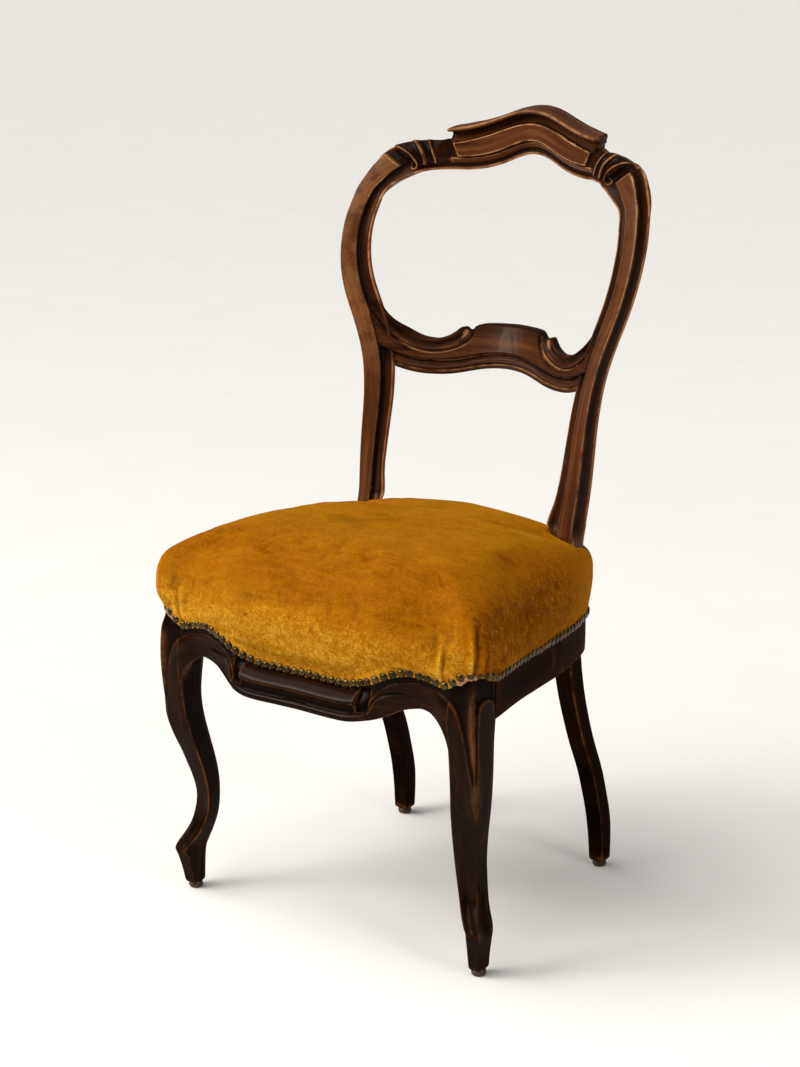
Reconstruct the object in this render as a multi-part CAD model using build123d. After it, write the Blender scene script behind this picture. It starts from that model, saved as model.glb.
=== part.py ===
from build123d import *
import math
import os
import numpy as np

# Balloon-back dining chair with a sprung, stuffed seat.
# Millimetres, +Z up, the front faces -Y, +X is to the right of a person who looks
# at the front.  The left-right symmetry plane is X = 0.

# ----------------------------------------------------------------- driving sizes
CHAIR_HEIGHT = 907.0          # floor to the top of the crest cap
FOOT_HALF_FRONT = 206.0       # front foot centre, half spacing
FOOT_HALF_REAR = 148.0        # rear foot centre, half spacing
FOOT_Y_FRONT = -192.0
FOOT_Y_REAR = 151.0
GLIDE_H = 8.0                 # glide height under each foot
GLIDE_R = 8.5
GLIDE_PIN_R = 2.2
GLIDE_PIN_L = 12.0

STILE_BAND_HALF = 8.6         # half width of the raised band on the stile
STILE_INNER = 22.0            # band centre to the inner edge of the stile
STILE_OUTER = 15.2            # band centre to the outer edge of the stile
STILE_T = 24.5                # stile thickness, front to back
CREST_T = 27.0                # crest rail thickness
CREST_JOINT_Z = 797.0         # height of the stile to crest joint
CAP_HALF = 103.0              # half length of the crest cap
CAP_H = 8.0
MID_T = 18.0                  # middle rail thickness

RAIL_TOP = 350.0              # top of the seat rails
RAIL_BOT = 296.0              # underside of the side and rear rails
RAIL_T = 22.0                 # seat rail thickness
SEAM_Y = -33.0                # seam between side rail and rear corner rail
REAR_SEAM_X = 108.0           # seam between rear corner rail and rear rail
COVER_T = 1.8                 # velvet with its backing
NAIL_R = 4.8                  # upholstery nail head radius
NAIL_H = 2.9
NAIL_PITCH = 10.3
NAIL_SHANK_R = 0.9
NAIL_SHANK_L = 9.0

WEB_W = 50.0                  # webbing width
WEB_T = 1.8
TENON_T = 9.0
DOWEL_R = 4.0


# ----------------------------------------------------------------- helpers
def spline(xs, ys):
    """Natural cubic spline through the points, as a function."""
    xs = np.asarray(xs, float)
    ys = np.asarray(ys, float)
    n = len(xs)
    h = np.diff(xs)
    a = np.zeros((n, n))
    r = np.zeros(n)
    a[0, 0] = a[-1, -1] = 1.0
    for i in range(1, n - 1):
        a[i, i - 1] = h[i - 1]
        a[i, i] = 2 * (h[i - 1] + h[i])
        a[i, i + 1] = h[i]
        r[i] = 6 * ((ys[i + 1] - ys[i]) / h[i] - (ys[i] - ys[i - 1]) / h[i - 1])
    m = np.linalg.solve(a, r)

    def f(x):
        x = min(max(float(x), xs[0]), xs[-1])
        i = min(max(int(np.searchsorted(xs, x)) - 1, 0), n - 2)
        t = x - xs[i]
        b = (ys[i + 1] - ys[i]) / h[i] - h[i] * (2 * m[i] + m[i + 1]) / 6
        return ys[i] + b * t + m[i] * t * t / 2 + (m[i + 1] - m[i]) * t ** 3 / (6 * h[i])

    return f


def lin(xs, ys):
    return lambda x: float(np.interp(x, xs, ys))


def wire(pts):
    return Wire.make_polygon([Vector(*p) for p in pts], close=True)


def loft_poly(sections, ruled=True):
    return Solid.make_loft([wire(s) for s in sections], ruled)


def biggest(shape):
    return max(shape.solids(), key=lambda s: s.volume)


def box(x0, x1, y0, y1, z0, z1):
    return Solid.make_box(abs(x1 - x0), abs(y1 - y0), abs(z1 - z0)).moved(
        Location((min(x0, x1), min(y0, y1), min(z0, z1))))


def cyl(p, d, r, length):
    return Solid.make_cylinder(r, length, Plane(origin=p, z_dir=d))


def prism(pts, z0, z1):
    return Solid.extrude(Face(wire([(x, y, z0) for x, y in pts])), Vector(0, 0, z1 - z0))


def mirror_x(shape):
    return shape.mirror(Plane.YZ)


def minus(a, *others):
    out = a
    for o in others:
        out = out - o
    return biggest(out)


# ----------------------------------------------------------------- back surface
# The face of the back is hollow in plan and raked: its Y over X and Z.
BACK = (163.619, 30.22, -6.599, 0.378, -82.13, -9.807, 8.383, 18.81)


def back_y(x, z):
    t = (z - 650.0) / 100.0
    q = (x / 150.0) ** 2
    c = BACK
    return (c[0] + c[1] * t + c[2] * t * t + c[3] * t ** 3
            + c[4] * q + c[5] * q * t + c[6] * q * t * t + c[7] * q * q)


# ----------------------------------------------------------------- rear posts
# Leg below the seat, stile above it, one piece of wood.
leg_y = spline([8, 48, 75, 99, 134, 167, 200, 229, 259, 300, 350, 400, 430],
               [151, 149.5, 145, 138, 126, 110.5, 97, 87, 79, 72.5, 71, 72, 74])
leg_x = lin([8, 133, 259, 300, 430], [148, 146, 145, 144.5, 144.5])
leg_w = lin([8, 60, 200, 259, 300, 430], [19.5, 22, 23, 24, 25, 26])
leg_d = lin([8, 60, 200, 259, 300, 430], [19.5, 22.5, 23.5, 25, 26, 24])
band_x = spline([451, 482, 512, 540, 560, 577, 603, 630, 660, 690, 718, 745, 772, 797],
                [145.2, 147.6, 148.8, 149.2, 149.7, 150.9, 154.2, 160.9, 171.6, 183.6, 191.4,
                 195.0, 194.6, 190.2])


def leg_section(z):
    x, y, w, d = leg_x(z), leg_y(z), leg_w(z) / 2, leg_d(z)
    f = y - d / 2
    c = 2.2
    return [(x - w, f + 0.40 * d, z), (x - w, f + 0.16 * d, z), (x - w + c, f, z), (x - w * 0.45, f, z),
            (x + w * 0.45, f, z), (x + w - c, f, z), (x + w, f + c, z), (x + w, f + d, z),
            (x - w, f + d, z), (x - w, f + 0.68 * d, z)]


def band_dir(z):
    dx = band_x(z + 1.5) - band_x(z - 1.5)
    n = math.hypot(dx, 3.0)
    return 3.0 / n, -dx / n          # outward normal in the X-Z plane


def stile_section(z, grow=1.0):
    x = band_x(z)
    nx, nz = band_dir(z)
    ui, ub, uo, t = STILE_INNER * grow, STILE_BAND_HALF, STILE_OUTER, STILE_T
    uv = [(-ui, 6.0), (-ui + 2.0, 3.4), (-ub - 2.6, 6.0), (-ub, 0.0), (ub, 0.0),
          (ub + 2.0, 6.5), (uo, 17.5), (uo - 2.6, t), (-ui + 8.5, t), (-ui + 2.4, 14.5)]
    out = []
    for u, v in uv:
        px, pz = x + u * nx, z + u * nz
        out.append((px, back_y(px, pz) + v, pz))
    return out


post_sections = [leg_section(z) for z in
                 (GLIDE_H, 48, 75, 99, 134, 167, 200, 229, 259, 300, 350, 395, 425)]
post_sections += [stile_section(z, g) for z, g in
                  ((452, 1.2), (466, 1.07), (482, 1.0), (512, 1), (540, 1), (560, 1), (580, 1), (603, 1), (630, 1),
                   (660, 1), (690, 1), (718, 1), (745, 1), (772, 1), (815, 1))]
post_r = loft_poly(post_sections)
post_r = minus(post_r, box(120, 260, 0, 300, CREST_JOINT_Z, 900))

# ----------------------------------------------------------------- crest rail
# Stations from the right joint to the middle: outer and inner edge points.
crest_half = [((206.5, 792), (168.6, 790)), ((202.8, 809), (165.6, 799.5)), ((197.8, 820.2), (161.5, 805.5)),
              ((190.2, 834.2), (154.5, 811.5)), ((181.0, 847.3), (147.5, 815.8)), ((168.5, 855.0), (140.0, 820.2)),
              ((155.5, 860.3), (132.0, 824.2)), ((140.5, 864.0), (123.5, 827.0)), ((125.5, 865.8), (114.0, 828.4)),
              ((110.0, 866.8), (103.0, 828.9)), ((97.0, 870.0), (92.0, 828.8)), ((80.0, 877.5), (76.0, 829.2)),
              ((60.0, 882.8), (58.0, 832.0)), ((43.0, 888.8), (41.0, 837.0)), ((28.0, 894.4), (27.0, 842.4)),
              ((14.0, 898.0), (13.5, 848.0))]
crest_mid = ((0.0, 899.2), (0.0, 851.4))


def crest_section(o, i):
    (xo, zo), (xi, zi) = o, i
    tv = [(0.0, 9.0), (0.10, 6.0), (0.36, 0.6), (0.84, 0.6), (0.97, 5.0), (1.0, 11.0),
          (0.94, CREST_T), (0.20, CREST_T), (0.03, 16.0)]
    out = []
    for t, v in tv:
        x, z = xi + (xo - xi) * t, zi + (zo - zi) * t
        out.append((x, back_y(x, z) + v, z))
    return out


def flip(st):
    (xo, zo), (xi, zi) = st
    return ((-xo, zo), (-xi, zi))


stations = crest_half + [crest_mid] + [flip(s) for s in reversed(crest_half)]
crest = loft_poly([crest_section(*s) for s in stations])
cap_z = spline([-103, -80, -60, -43, -28, -14, 0, 14, 28, 43, 60, 80, 103],
               [874.5, 877.5, 882.8, 888.8, 894.4, 898.0, 899.2, 898.0, 894.4, 888.8, 882.8, 877.5, 874.5])


def cap_section(x):
    z, f = cap_z(x), back_y(x, cap_z(x))
    h = CAP_H if abs(x) < 90 else CAP_H - 1.5
    return [(x, f - 1.5, z - 0.2), (x, f - 3.0, z + 2.0), (x, f - 2.0, z + 4.6), (x, f + 4.0, z + h),
            (x, f + 26.5, z + h), (x, f + 30.0, z + 4.0), (x, f + 28.5, z - 5.0), (x, f + 6.0, z - 5.0)]


cap = loft_poly([cap_section(x) for x in (-103, -92, -80, -60, -43, -28, -14, 0, 14, 28, 43, 60, 80, 92, 103)])
crest = biggest(crest + cap)
for s in (-1, 1):
    crest = minus(crest, box(s * 130, s * 260, 0, 300, 700, CREST_JOINT_Z))

# Dowels across the crest joints, two on each side.
crest_dowels = []
for dx in (-7.0, 5.0):
    x = band_x(CREST_JOINT_Z) + dx
    y = back_y(x, CREST_JOINT_Z) + 12.0
    crest_dowels.append(cyl((x, y, CREST_JOINT_Z - 20), (0, 0, 1), 3.0, 34))
for d in crest_dowels:
    post_r = minus(post_r, d)
    crest = minus(crest, d, mirror_x(d))
crest_dowels += [mirror_x(d) for d in crest_dowels]

# ----------------------------------------------------------------- middle rail
mid_top = spline([0, 28, 44, 50, 56, 62, 70, 80, 92, 104, 114, 127, 137, 148],
                 [651, 650, 648.2, 644.5, 642.5, 643.5, 639, 632.5, 629.6, 631, 634.4, 643, 651, 663])
mid_bot = spline([0, 17, 42, 65, 87, 110, 130, 148], [599.5, 598.6, 594.4, 589.4, 587.8, 589.8, 595.5, 603])


def mid_section(x):
    zt, zb = mid_top(abs(x)), mid_bot(abs(x))
    h = zt - zb
    tv = [(0.0, 8.0), (0.07, 5.4), (0.26, 0.8), (0.80, 0.8), (0.93, 3.6), (1.0, 6.5),
          (0.97, MID_T), (0.08, MID_T)]
    return [(x, back_y(x, zb + h * t) + v, zb + h * t) for t, v in tv]


mid = loft_poly([mid_section(x) for x in
                 (-148, -137, -127, -114, -104, -92, -80, -70, -62, -55, -44, -28, 0,
                  28, 44, 55, 62, 70, 80, 92, 104, 114, 127, 137, 148)])
mid = minus(mid, post_r, mirror_x(post_r))
my = back_y(140, 620) + 11.0
mid_tenon = box(118, 154, my - 3.5, my + 3.5, 607, 635)
mid_tenon = minus(mid_tenon, box(118, 126, my - 4, my + 4, 600, 640))
post_r = minus(post_r, mid_tenon)
mid = biggest(mid + mid_tenon)
mid = biggest(mid + mirror_x(mid_tenon))

# ----------------------------------------------------------------- front legs
# Corners of the leg at each height: front outer, front inner, rear inner, rear outer.
front_leg_table = [
    (352, (218.5, -223.0), (190.0, -225.0), (190.0, -186.0), (218.5, -184.0)),
    (336, (219.5, -225.5), (188.5, -227.0), (189.0, -186.0), (219.0, -183.0)),
    (318, (220.5, -227.5), (188.0, -229.0), (189.0, -185.0), (219.5, -182.0)),
    (300, (221.0, -228.0), (188.0, -230.0), (189.0, -185.0), (219.5, -182.0)),
    (275, (221.0, -226.6), (189.2, -229.2), (190.0, -187.5), (219.3, -184.0)),
    (250, (220.5, -223.6), (189.3, -227.4), (190.0, -190.5), (218.8, -184.0)),
    (220, (218.0, -219.0), (186.8, -222.2), (188.0, -188.5), (216.5, -182.0)),
    (190, (213.5, -211.0), (182.6, -215.4), (184.0, -183.0), (212.0, -178.5)),
    (165, (208.5, -203.3), (178.9, -208.0), (180.5, -178.5), (207.0, -175.0)),
    (140, (203.7, -195.7), (177.0, -201.8), (178.5, -175.5), (202.2, -170.5)),
    (117, (201.8, -192.0), (177.5, -198.3), (179.0, -174.8), (200.5, -168.3)),
    (100, (203.0, -193.3), (180.0, -198.0), (181.0, -174.8), (202.0, -169.0)),
    (85, (206.0, -196.7), (184.0, -200.2), (185.0, -175.5), (205.0, -171.5)),
    (71, (211.3, -204.0), (190.3, -205.6), (190.0, -176.8), (210.8, -176.0)),
    (60, (217.0, -209.4), (197.4, -211.0), (194.0, -178.5), (215.6, -178.6)),
    (52, (219.8, -211.6), (202.6, -213.8), (196.0, -180.5), (217.8, -181.0)),
    (42, (218.0, -209.2), (200.8, -210.0), (197.0, -181.5), (216.8, -181.8)),
    (26, (215.0, -205.8), (199.8, -206.0), (198.0, -181.8), (214.6, -182.0)),
    (GLIDE_H, (213.2, -202.2), (199.0, -202.2), (198.8, -182.0), (213.2, -182.0)),
]


def leg_ring(row, cut=3.2):
    z, cs = row[0], [np.array(c, float) for c in row[1:]]
    c = min(cut, 0.2 * min(np.linalg.norm(cs[k] - cs[(k + 1) % 4]) for k in range(4)))
    pts = []
    for k in range(4):
        a, b, d = cs[k - 1], cs[k], cs[(k + 1) % 4]
        pts.append(b + (a - b) / np.linalg.norm(a - b) * c)
        pts.append(b + (d - b) / np.linalg.norm(d - b) * c)
    return [(float(p[0]), float(p[1]), z) for p in pts]


front_leg_r = loft_poly([leg_ring(r) for r in reversed(front_leg_table)])

# ----------------------------------------------------------------- seat outline
# Outer face of the cover at the rail, right half, front middle to rear middle.
OUTLINE = [(0, -240.5), (60, -240.6), (80, -241.8), (97, -243.2), (118, -240.6), (135, -237.0), (150, -233.5),
           (170, -230.2), (190, -228.6), (208, -227.6), (218.5, -223.5), (222.6, -213.5), (222.4, -190.0),
           (218.2, -165.0), (212.8, -140.0), (207.2, -110.0), (203.0, -80.0), (199.0, -50.0), (194.2, -15.0),
           (188.2, 15.0), (181.0, 42.0), (172.4, 68.0), (162.5, 88.0), (148.0, 100.5), (125.0, 105.6),
           (80.0, 107.0), (0, 107.4)]
SEAT_C = (0.0, -68.0)
# Three times as many points, on a smooth curve through them.
_s = np.concatenate([[0.0], np.cumsum([math.dist(OUTLINE[k], OUTLINE[k + 1]) for k in range(len(OUTLINE) - 1)])])
_fx, _fy = spline(_s, [p[0] for p in OUTLINE]), spline(_s, [p[1] for p in OUTLINE])
OUTLINE = [(_fx(t), _fy(t)) for t in np.interp(np.linspace(0, len(_s) - 1, 2 * len(_s) - 1), np.arange(len(_s)), _s)]


def outline(inset=0.0):
    """Closed outline, drawn in by about inset, counter-clockwise."""
    half = []
    n = len(OUTLINE)
    for k, (x, y) in enumerate(OUTLINE):
        p = OUTLINE[k - 1] if k else (-OUTLINE[1][0], OUTLINE[1][1])
        q = OUTLINE[k + 1] if k < n - 1 else (-OUTLINE[-2][0], OUTLINE[-2][1])
        tx, ty = q[0] - p[0], q[1] - p[1]
        ln = math.hypot(tx, ty)
        nx, ny = ty / ln, -tx / ln
        if k in (0, n - 1):
            nx = 0.0
        if inset > 9.0 and y < -188.0:
            continue
        half.append((x - nx * inset, y - ny * inset))
    if inset > 9.0:
        # Behind the front legs the inner line is squared off.
        half = [(0.0, -212.0), (half[0][0], -212.0)] + half
    return half + [(-x, y) for x, y in reversed(half[1:-1])]


def shrink(inset):
    k = (222.0 - inset) / 222.0
    return [(SEAT_C[0] + (x - SEAT_C[0]) * k, SEAT_C[1] + (y - SEAT_C[1]) * k) for x, y in outline()]


def ring_wire(pts, z):
    return wire([(x, y, z) for x, y in pts])


def ring_prism(inset, z0, z1):
    return Solid.extrude(Face(ring_wire(outline(inset), z0)), Vector(0, 0, z1 - z0))


# ----------------------------------------------------------------- seat rails
front_yl = spline([0, 60, 87, 101, 114, 130, 153, 175, 196],
                  [-258, -257.4, -254, -247.4, -241, -235, -230.5, -226.0, -223.5])
front_yn = spline([0, 60, 80, 97, 118, 135, 150, 175, 196],
                  [-238.7, -238.8, -240, -241.2, -238.6, -234.8, -231.0, -226.0, -223.0])
front_zb = spline([0, 30, 60, 75, 87, 101, 114, 122, 130, 145, 153, 160, 168, 175, 180, 185, 189, 191],
                  [283, 282.4, 282, 283, 285, 288, 293, 297, 301, 305, 306, 304.8, 301, 296, 291, 283, 272, 262])


def front_section(x):
    a = abs(x)
    zb, yl, yn = front_zb(a), front_yl(a), front_yn(a)
    yb = -210.0
    zbb = max(RAIL_BOT, zb + 1.0)
    return [(x, yb, zbb), (x, yl + 12.0, zbb), (x, yl + 10.0, zb), (x, yl + 2.5, zb), (x, yl, zb + 5.0),
            (x, yl + 0.5, zb + 17.0), (x, yn, zb + 30.0), (x, yn, RAIL_TOP), (x, yb, RAIL_TOP)]


fx = (0, 30, 60, 75, 87, 101, 114, 122, 130, 145, 153, 160, 168, 175, 180, 185, 189, 191)
front_rail = loft_poly([front_section(x) for x in [-v for v in reversed(fx[1:])] + list(fx)])
front_rail = minus(front_rail, front_leg_r, mirror_x(front_leg_r))
for s in (-1, 1):
    front_rail = minus(front_rail, box(s * 191, s * 260, -300, -100, 200, 400))
ft = box(176, 207, -221.5, -212.5, 311, 339)
front_leg_r = minus(front_leg_r, ft)
front_rail = biggest(front_rail + ft)
front_rail = biggest(front_rail + mirror_x(ft))

hoop = ring_prism(COVER_T + 0.2, RAIL_BOT, RAIL_TOP) - ring_prism(COVER_T + 0.2 + RAIL_T, RAIL_BOT - 1, RAIL_TOP + 1)
hoop = biggest(hoop)
side_r = biggest(hoop & box(60, 260, -204, SEAM_Y, 250, 400))
side_r = minus(side_r, front_leg_r)
st = box(201, 210, -208, -176, 306, 340)
front_leg_r = minus(front_leg_r, st)
side_r = biggest(side_r + (st & box(150, 260, -208, -176, 250, 400)))
corner_r = biggest(hoop & (box(REAR_SEAM_X, 260, SEAM_Y, 200, 250, 400)))
corner_r = minus(corner_r, post_r)
rear_rail = biggest(hoop & box(-REAR_SEAM_X, REAR_SEAM_X, 20, 200, 250, 400))
rear_rail = minus(rear_rail, post_r, mirror_x(post_r))

# Dowels over the rail seams.
rail_dowels = []
for z in (309.0, 337.0):
    rail_dowels.append(cyl((185.6, SEAM_Y - 20, z), (-0.135, 1.0, 0), DOWEL_R, 40))
    rail_dowels.append(cyl((REAR_SEAM_X - 18, 94.0, z), (1, 0, 0), DOWEL_R, 34))
for d in rail_dowels:
    m = mirror_x(d)
    side_r = minus(side_r, d)
    corner_r = minus(corner_r, d)
    rear_rail = minus(rear_rail, d, m)
rail_dowels += [mirror_x(d) for d in rail_dowels]

# ----------------------------------------------------------------- corner blocks
blk_f = prism([(138, -212), (200, -212), (203, -140), (196, -126), (191, -130)], 304, 338)
blk_f = minus(blk_f, front_leg_r, front_rail, side_r)
blk_r = prism([(88, 87), (140, 87), (162, 56), (170, 4), (162, 4)], 304, 338)
blk_r = minus(blk_r, post_r, corner_r, rear_rail)


def screw(p, d, length):
    """Countersunk wood screw: head at p, driven along d."""
    pl = Plane(origin=p, z_dir=d)
    head = Solid.make_cone(4.2, 2.0, 3.2, pl)
    body = Solid.make_cylinder(2.0, length, pl)
    return biggest(head + body)


# Two screws in each block, one into each rail, with their heads let into the block.
screws = []
for p, d, length, cut in (((158, -187.0, 321), (0, -1, 0), 31.0, "f"), ((183.0, -152, 321), (1, 0, 0), 24.0, "f"),
                          ((98.0, 79.0, 321), (0, 1, 0), 20.0, "r"), ((151.0, 24.0, 321), (1, 0, 0), 27.0, "r")):
    s = screw(p, d, length)
    sink = cyl((p[0] - 12 * d[0], p[1] - 12 * d[1], p[2]), d, 4.6, 12.0)
    if cut == "f":
        blk_f = minus(blk_f, s, sink)
        front_rail = minus(front_rail, s, mirror_x(s))
        side_r = minus(side_r, s)
    else:
        blk_r = minus(blk_r, s, sink)
        corner_r = minus(corner_r, s)
        rear_rail = minus(rear_rail, s, mirror_x(s))
    screws.append(s)
screws += [mirror_x(s) for s in screws]

# ----------------------------------------------------------------- seat cover and stuffing
PROFILE = [(300, 0.0), (352, 0.0), (366, -3.6), (384, -6.4), (400, -6.9), (411, -5.2), (421, 0.2), (430, 8.5),
           (438, 21), (444, 37), (449, 59), (452.5, 85), (455, 120), (456, 150)]


def dome(inset, drop, z_low):
    """Stuffed seat form, a little smaller by inset and lower by drop."""
    secs = []
    for z, i in PROFILE:
        zz = z_low if z == 300 else z - (drop if z > 352 else 0.0)
        secs.append(ring_wire(outline(inset) if i == 0.0 else [
            (SEAT_C[0] + (x - SEAT_C[0]) * (222.0 - i) / 222.0, SEAT_C[1] + (y - SEAT_C[1]) * (222.0 - i) / 222.0)
            for x, y in outline(inset)], zz))
    return Solid.make_loft(secs, True)


# Lower edge of the cover, along the front over X and along the sides over Y.
NAIL_FRONT = ([0, 60, 80, 97, 118, 135, 150, 165, 178, 186, 193, 199, 211, 224],
              [321, 321, 325.5, 331, 341, 346.5, 347, 344, 340.5, 339, 344, 349.5, 355, 357])
NAIL_SIDE = ([-226, -222, -210, -200, -186, 200], [357, 357, 354, 349, 344.5, 344])
nail_front = lin(*NAIL_FRONT)
nail_side = lin(*NAIL_SIDE)

d0 = dome(0.0, 0.0, 300)
d1 = dome(COVER_T, COVER_T, 296)
cover = biggest(d0 - d1)
edge_drop = 3.2
fpts = [(x, z - edge_drop) for x, z in zip(*NAIL_FRONT)]
fpoly = [(-240, 280)] + [(-x, z) for x, z in reversed(fpts)] + [(x, z) for x, z in fpts[1:]] + [(240, 280)]
fcut = Solid.extrude(Face(wire([(x, -300, z) for x, z in fpoly])), Vector(0, 92, 0))
spts = [(y, z - edge_drop) for y, z in zip(*NAIL_SIDE)][2:]
spoly = [(-208, 280)] + [(-208, nail_side(-208) - edge_drop)] + spts[1:] + [(200, 280)]
scut = Solid.extrude(Face(wire([(-300, y, z) for y, z in spoly])), Vector(600, 0, 0))
cover = minus(cover, fcut, scut)
cover = minus(cover, post_r, mirror_x(post_r))

posts = [post_r, mirror_x(post_r)]
d2 = dome(7.0, 7.0, 296)
above = box(-300, 300, -300, 300, RAIL_TOP + 0.4, 500)
wadding = biggest((d1 & above) - d2)
wadding = minus(wadding, *posts)
front_legs = [front_leg_r, mirror_x(front_leg_r)]
wadding = minus(wadding, *front_legs)
SPRING_TOP = 414.0
hair = biggest(d2 & above)
spring_well = Solid.extrude(Face(ring_wire(shrink(46.0), RAIL_TOP - 5)), Vector(0, 0, SPRING_TOP + 2.0 - RAIL_TOP + 5))
hair = minus(hair, spring_well, *posts)
hair = minus(hair, *front_legs)
canvas = Solid.extrude(Face(ring_wire(shrink(46.5), SPRING_TOP)), Vector(0, 0, 1.6))
canvas = minus(canvas, *posts)

# ----------------------------------------------------------------- webbing and springs
web_z = RAIL_BOT - WEB_T
webs_long = [box(x - WEB_W / 2, x + WEB_W / 2, -226, 97, web_z - 0.05, RAIL_BOT - 0.05) for x in (-66, 0, 66)]
webs_cross = []
for y, hw in ((-148, 198), (-76, 186), (-4, 176)):
    webs_cross.append(box(-hw, hw, y - WEB_W / 2, y + WEB_W / 2, web_z - 0.1 - WEB_T, web_z - 0.1))
tacks = []
for x in (-66, 0, 66):
    for y, z in ((-219, web_z - 0.1), (91, web_z - 0.1)):
        for dx in (-16, 0, 16):
            tacks.append((x + dx, y, z))
for y, hw in ((-148, 193), (-76, 181), (-4, 171)):
    for s in (-1, 1):
        for dy in (-16, 0, 16):
            tacks.append((s * hw, y + dy, web_z - 0.1 - WEB_T - 0.05))
tack_solids = [cyl((x, y, z), (0, 0, -1), 3.4, 1.1) for x, y, z in tacks]

SPRING_WIRE = 1.7
springs = []
spring_z0 = RAIL_BOT + 2.0
h = SPRING_TOP - 2.0 - spring_z0
path = Helix(pitch=h / 4.0, height=h - 2 * SPRING_WIRE, radius=32.0)
prof = Plane(origin=path @ 0, z_dir=path % 0) * Circle(SPRING_WIRE)
coil = biggest(sweep(prof, path=path, is_frenet=True))
for x, y in ((-74, -148), (74, -148), (-74, -4), (74, -4), (0, -76)):
    springs.append(coil.moved(Location((x, y, spring_z0 + SPRING_WIRE))))

# ----------------------------------------------------------------- brass nails
dense = outline(-0.1)
loop = np.array(list(dense) + [dense[0]])
run = np.concatenate([[0.0], np.cumsum(np.hypot(*np.diff(loop, axis=0).T))])
n_nails = int(run[-1] / NAIL_PITCH)
sph_r = (NAIL_R ** 2 + NAIL_H ** 2) / (2 * NAIL_H)
ball = Solid.make_sphere(sph_r, Plane.XY, -90, 90, 360)
nail_head = biggest(ball.moved(Location((0, 0, NAIL_H - sph_r))) & box(-20, 20, -20, 20, 0, 20))
nails = []
for k in range(n_nails):
    t = (k + 0.5) / n_nails * run[-1]
    px, py = float(np.interp(t, run, loop[:, 0])), float(np.interp(t, run, loop[:, 1]))
    i = min(int(np.searchsorted(run, t)), len(run) - 1)
    tx, ty = loop[i] - loop[i - 1]
    z = nail_front(abs(px)) if py < -215 else nail_side(py)
    pl = Plane(origin=(px, py, z), x_dir=(0, 0, 1), z_dir=(ty, -tx, 0))
    nails.append(nail_head.moved(pl.location))

# ----------------------------------------------------------------- glides
glides = []
for x, y in ((FOOT_HALF_FRONT, FOOT_Y_FRONT), (FOOT_HALF_REAR, FOOT_Y_REAR)):
    dish = Solid.make_cone(GLIDE_R - 2.0, GLIDE_R, 3.0, Plane(origin=(x, y, 0)))
    stem = Solid.make_cylinder(GLIDE_R, GLIDE_H - 3.0, Plane(origin=(x, y, 3.0)))
    pin = Solid.make_cylinder(GLIDE_PIN_R, GLIDE_PIN_L, Plane(origin=(x, y, GLIDE_H)))
    glides.append(biggest(dish + stem + pin))
front_leg_r = minus(front_leg_r, glides[0])
post_r = minus(post_r, glides[1])

# ----------------------------------------------------------------- all nodes
nodes = {
    "front_leg_right": front_leg_r, "front_leg_left": mirror_x(front_leg_r),
    "rear_post_right": post_r, "rear_post_left": mirror_x(post_r),
    "crest_rail": crest, "mid_rail": mid,
    "front_seat_rail": front_rail,
    "side_seat_rail_right": side_r, "side_seat_rail_left": mirror_x(side_r),
    "rear_corner_rail_right": corner_r, "rear_corner_rail_left": mirror_x(corner_r),
    "rear_seat_rail": rear_rail,
    "corner_block_front_right": blk_f, "corner_block_front_left": mirror_x(blk_f),
    "corner_block_rear_right": blk_r, "corner_block_rear_left": mirror_x(blk_r),
    "corner_block_screws": Compound(children=screws),
    "crest_dowels": Compound(children=crest_dowels),
    "rail_dowels": Compound(children=rail_dowels),
    "webbing_lengthwise": Compound(children=webs_long),
    "webbing_crosswise": Compound(children=webs_cross),
    "webbing_tacks": Compound(children=tack_solids),
    "seat_springs": Compound(children=springs),
    "spring_canvas": canvas,
    "hair_stuffing": hair,
    "cotton_wadding": wadding,
    "seat_cover": cover,
    "cover_nails": Compound(children=nails),
    "glide_front_right": glides[0], "glide_front_left": mirror_x(glides[0]),
    "glide_rear_right": glides[1], "glide_rear_left": mirror_x(glides[1]),
}

# The origin is the middle of the chair's box, on the floor.
lo = min(s.bounding_box().min.Y for s in nodes.values())
hi = max(s.bounding_box().max.Y for s in nodes.values())
Y_SHIFT = round(-(lo + hi) / 2.0, 1)
print("Y_SHIFT", Y_SHIFT, "Y", lo, hi, "nails", len(nails))

os.makedirs("parts", exist_ok=True)
for name, shape in nodes.items():
    export_step(shape.moved(Location((0, Y_SHIFT, 0))), "parts/" + name + ".step")
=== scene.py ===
import math
import bpy
import bmesh
import numpy as np
from mathutils import Matrix, Vector


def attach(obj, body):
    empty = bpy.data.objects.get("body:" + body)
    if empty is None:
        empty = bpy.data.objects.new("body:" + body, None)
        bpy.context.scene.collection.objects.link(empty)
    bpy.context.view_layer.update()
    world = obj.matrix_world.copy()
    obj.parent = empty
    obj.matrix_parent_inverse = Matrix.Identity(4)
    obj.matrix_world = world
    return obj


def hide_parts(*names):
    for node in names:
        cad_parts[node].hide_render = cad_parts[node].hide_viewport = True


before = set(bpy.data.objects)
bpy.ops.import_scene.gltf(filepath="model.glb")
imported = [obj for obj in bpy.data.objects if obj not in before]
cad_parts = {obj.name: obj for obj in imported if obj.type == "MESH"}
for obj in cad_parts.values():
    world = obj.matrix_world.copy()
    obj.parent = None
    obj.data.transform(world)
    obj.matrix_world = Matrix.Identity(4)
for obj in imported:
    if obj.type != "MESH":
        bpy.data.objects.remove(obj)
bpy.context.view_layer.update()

# Balloon-back dining chair.  Tables are in millimetres, X to the right, front to -Y;
# Y_SHIFT takes them to the shared frame.
Y_SHIFT = 12.1
rng = np.random.default_rng(7)


# ------------------------------------------------------------------ small maths
def ss(a, b, x):
    t = np.clip((np.asarray(x, float) - a) / (b - a), 0.0, 1.0)
    return t * t * (3 - 2 * t)


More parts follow.
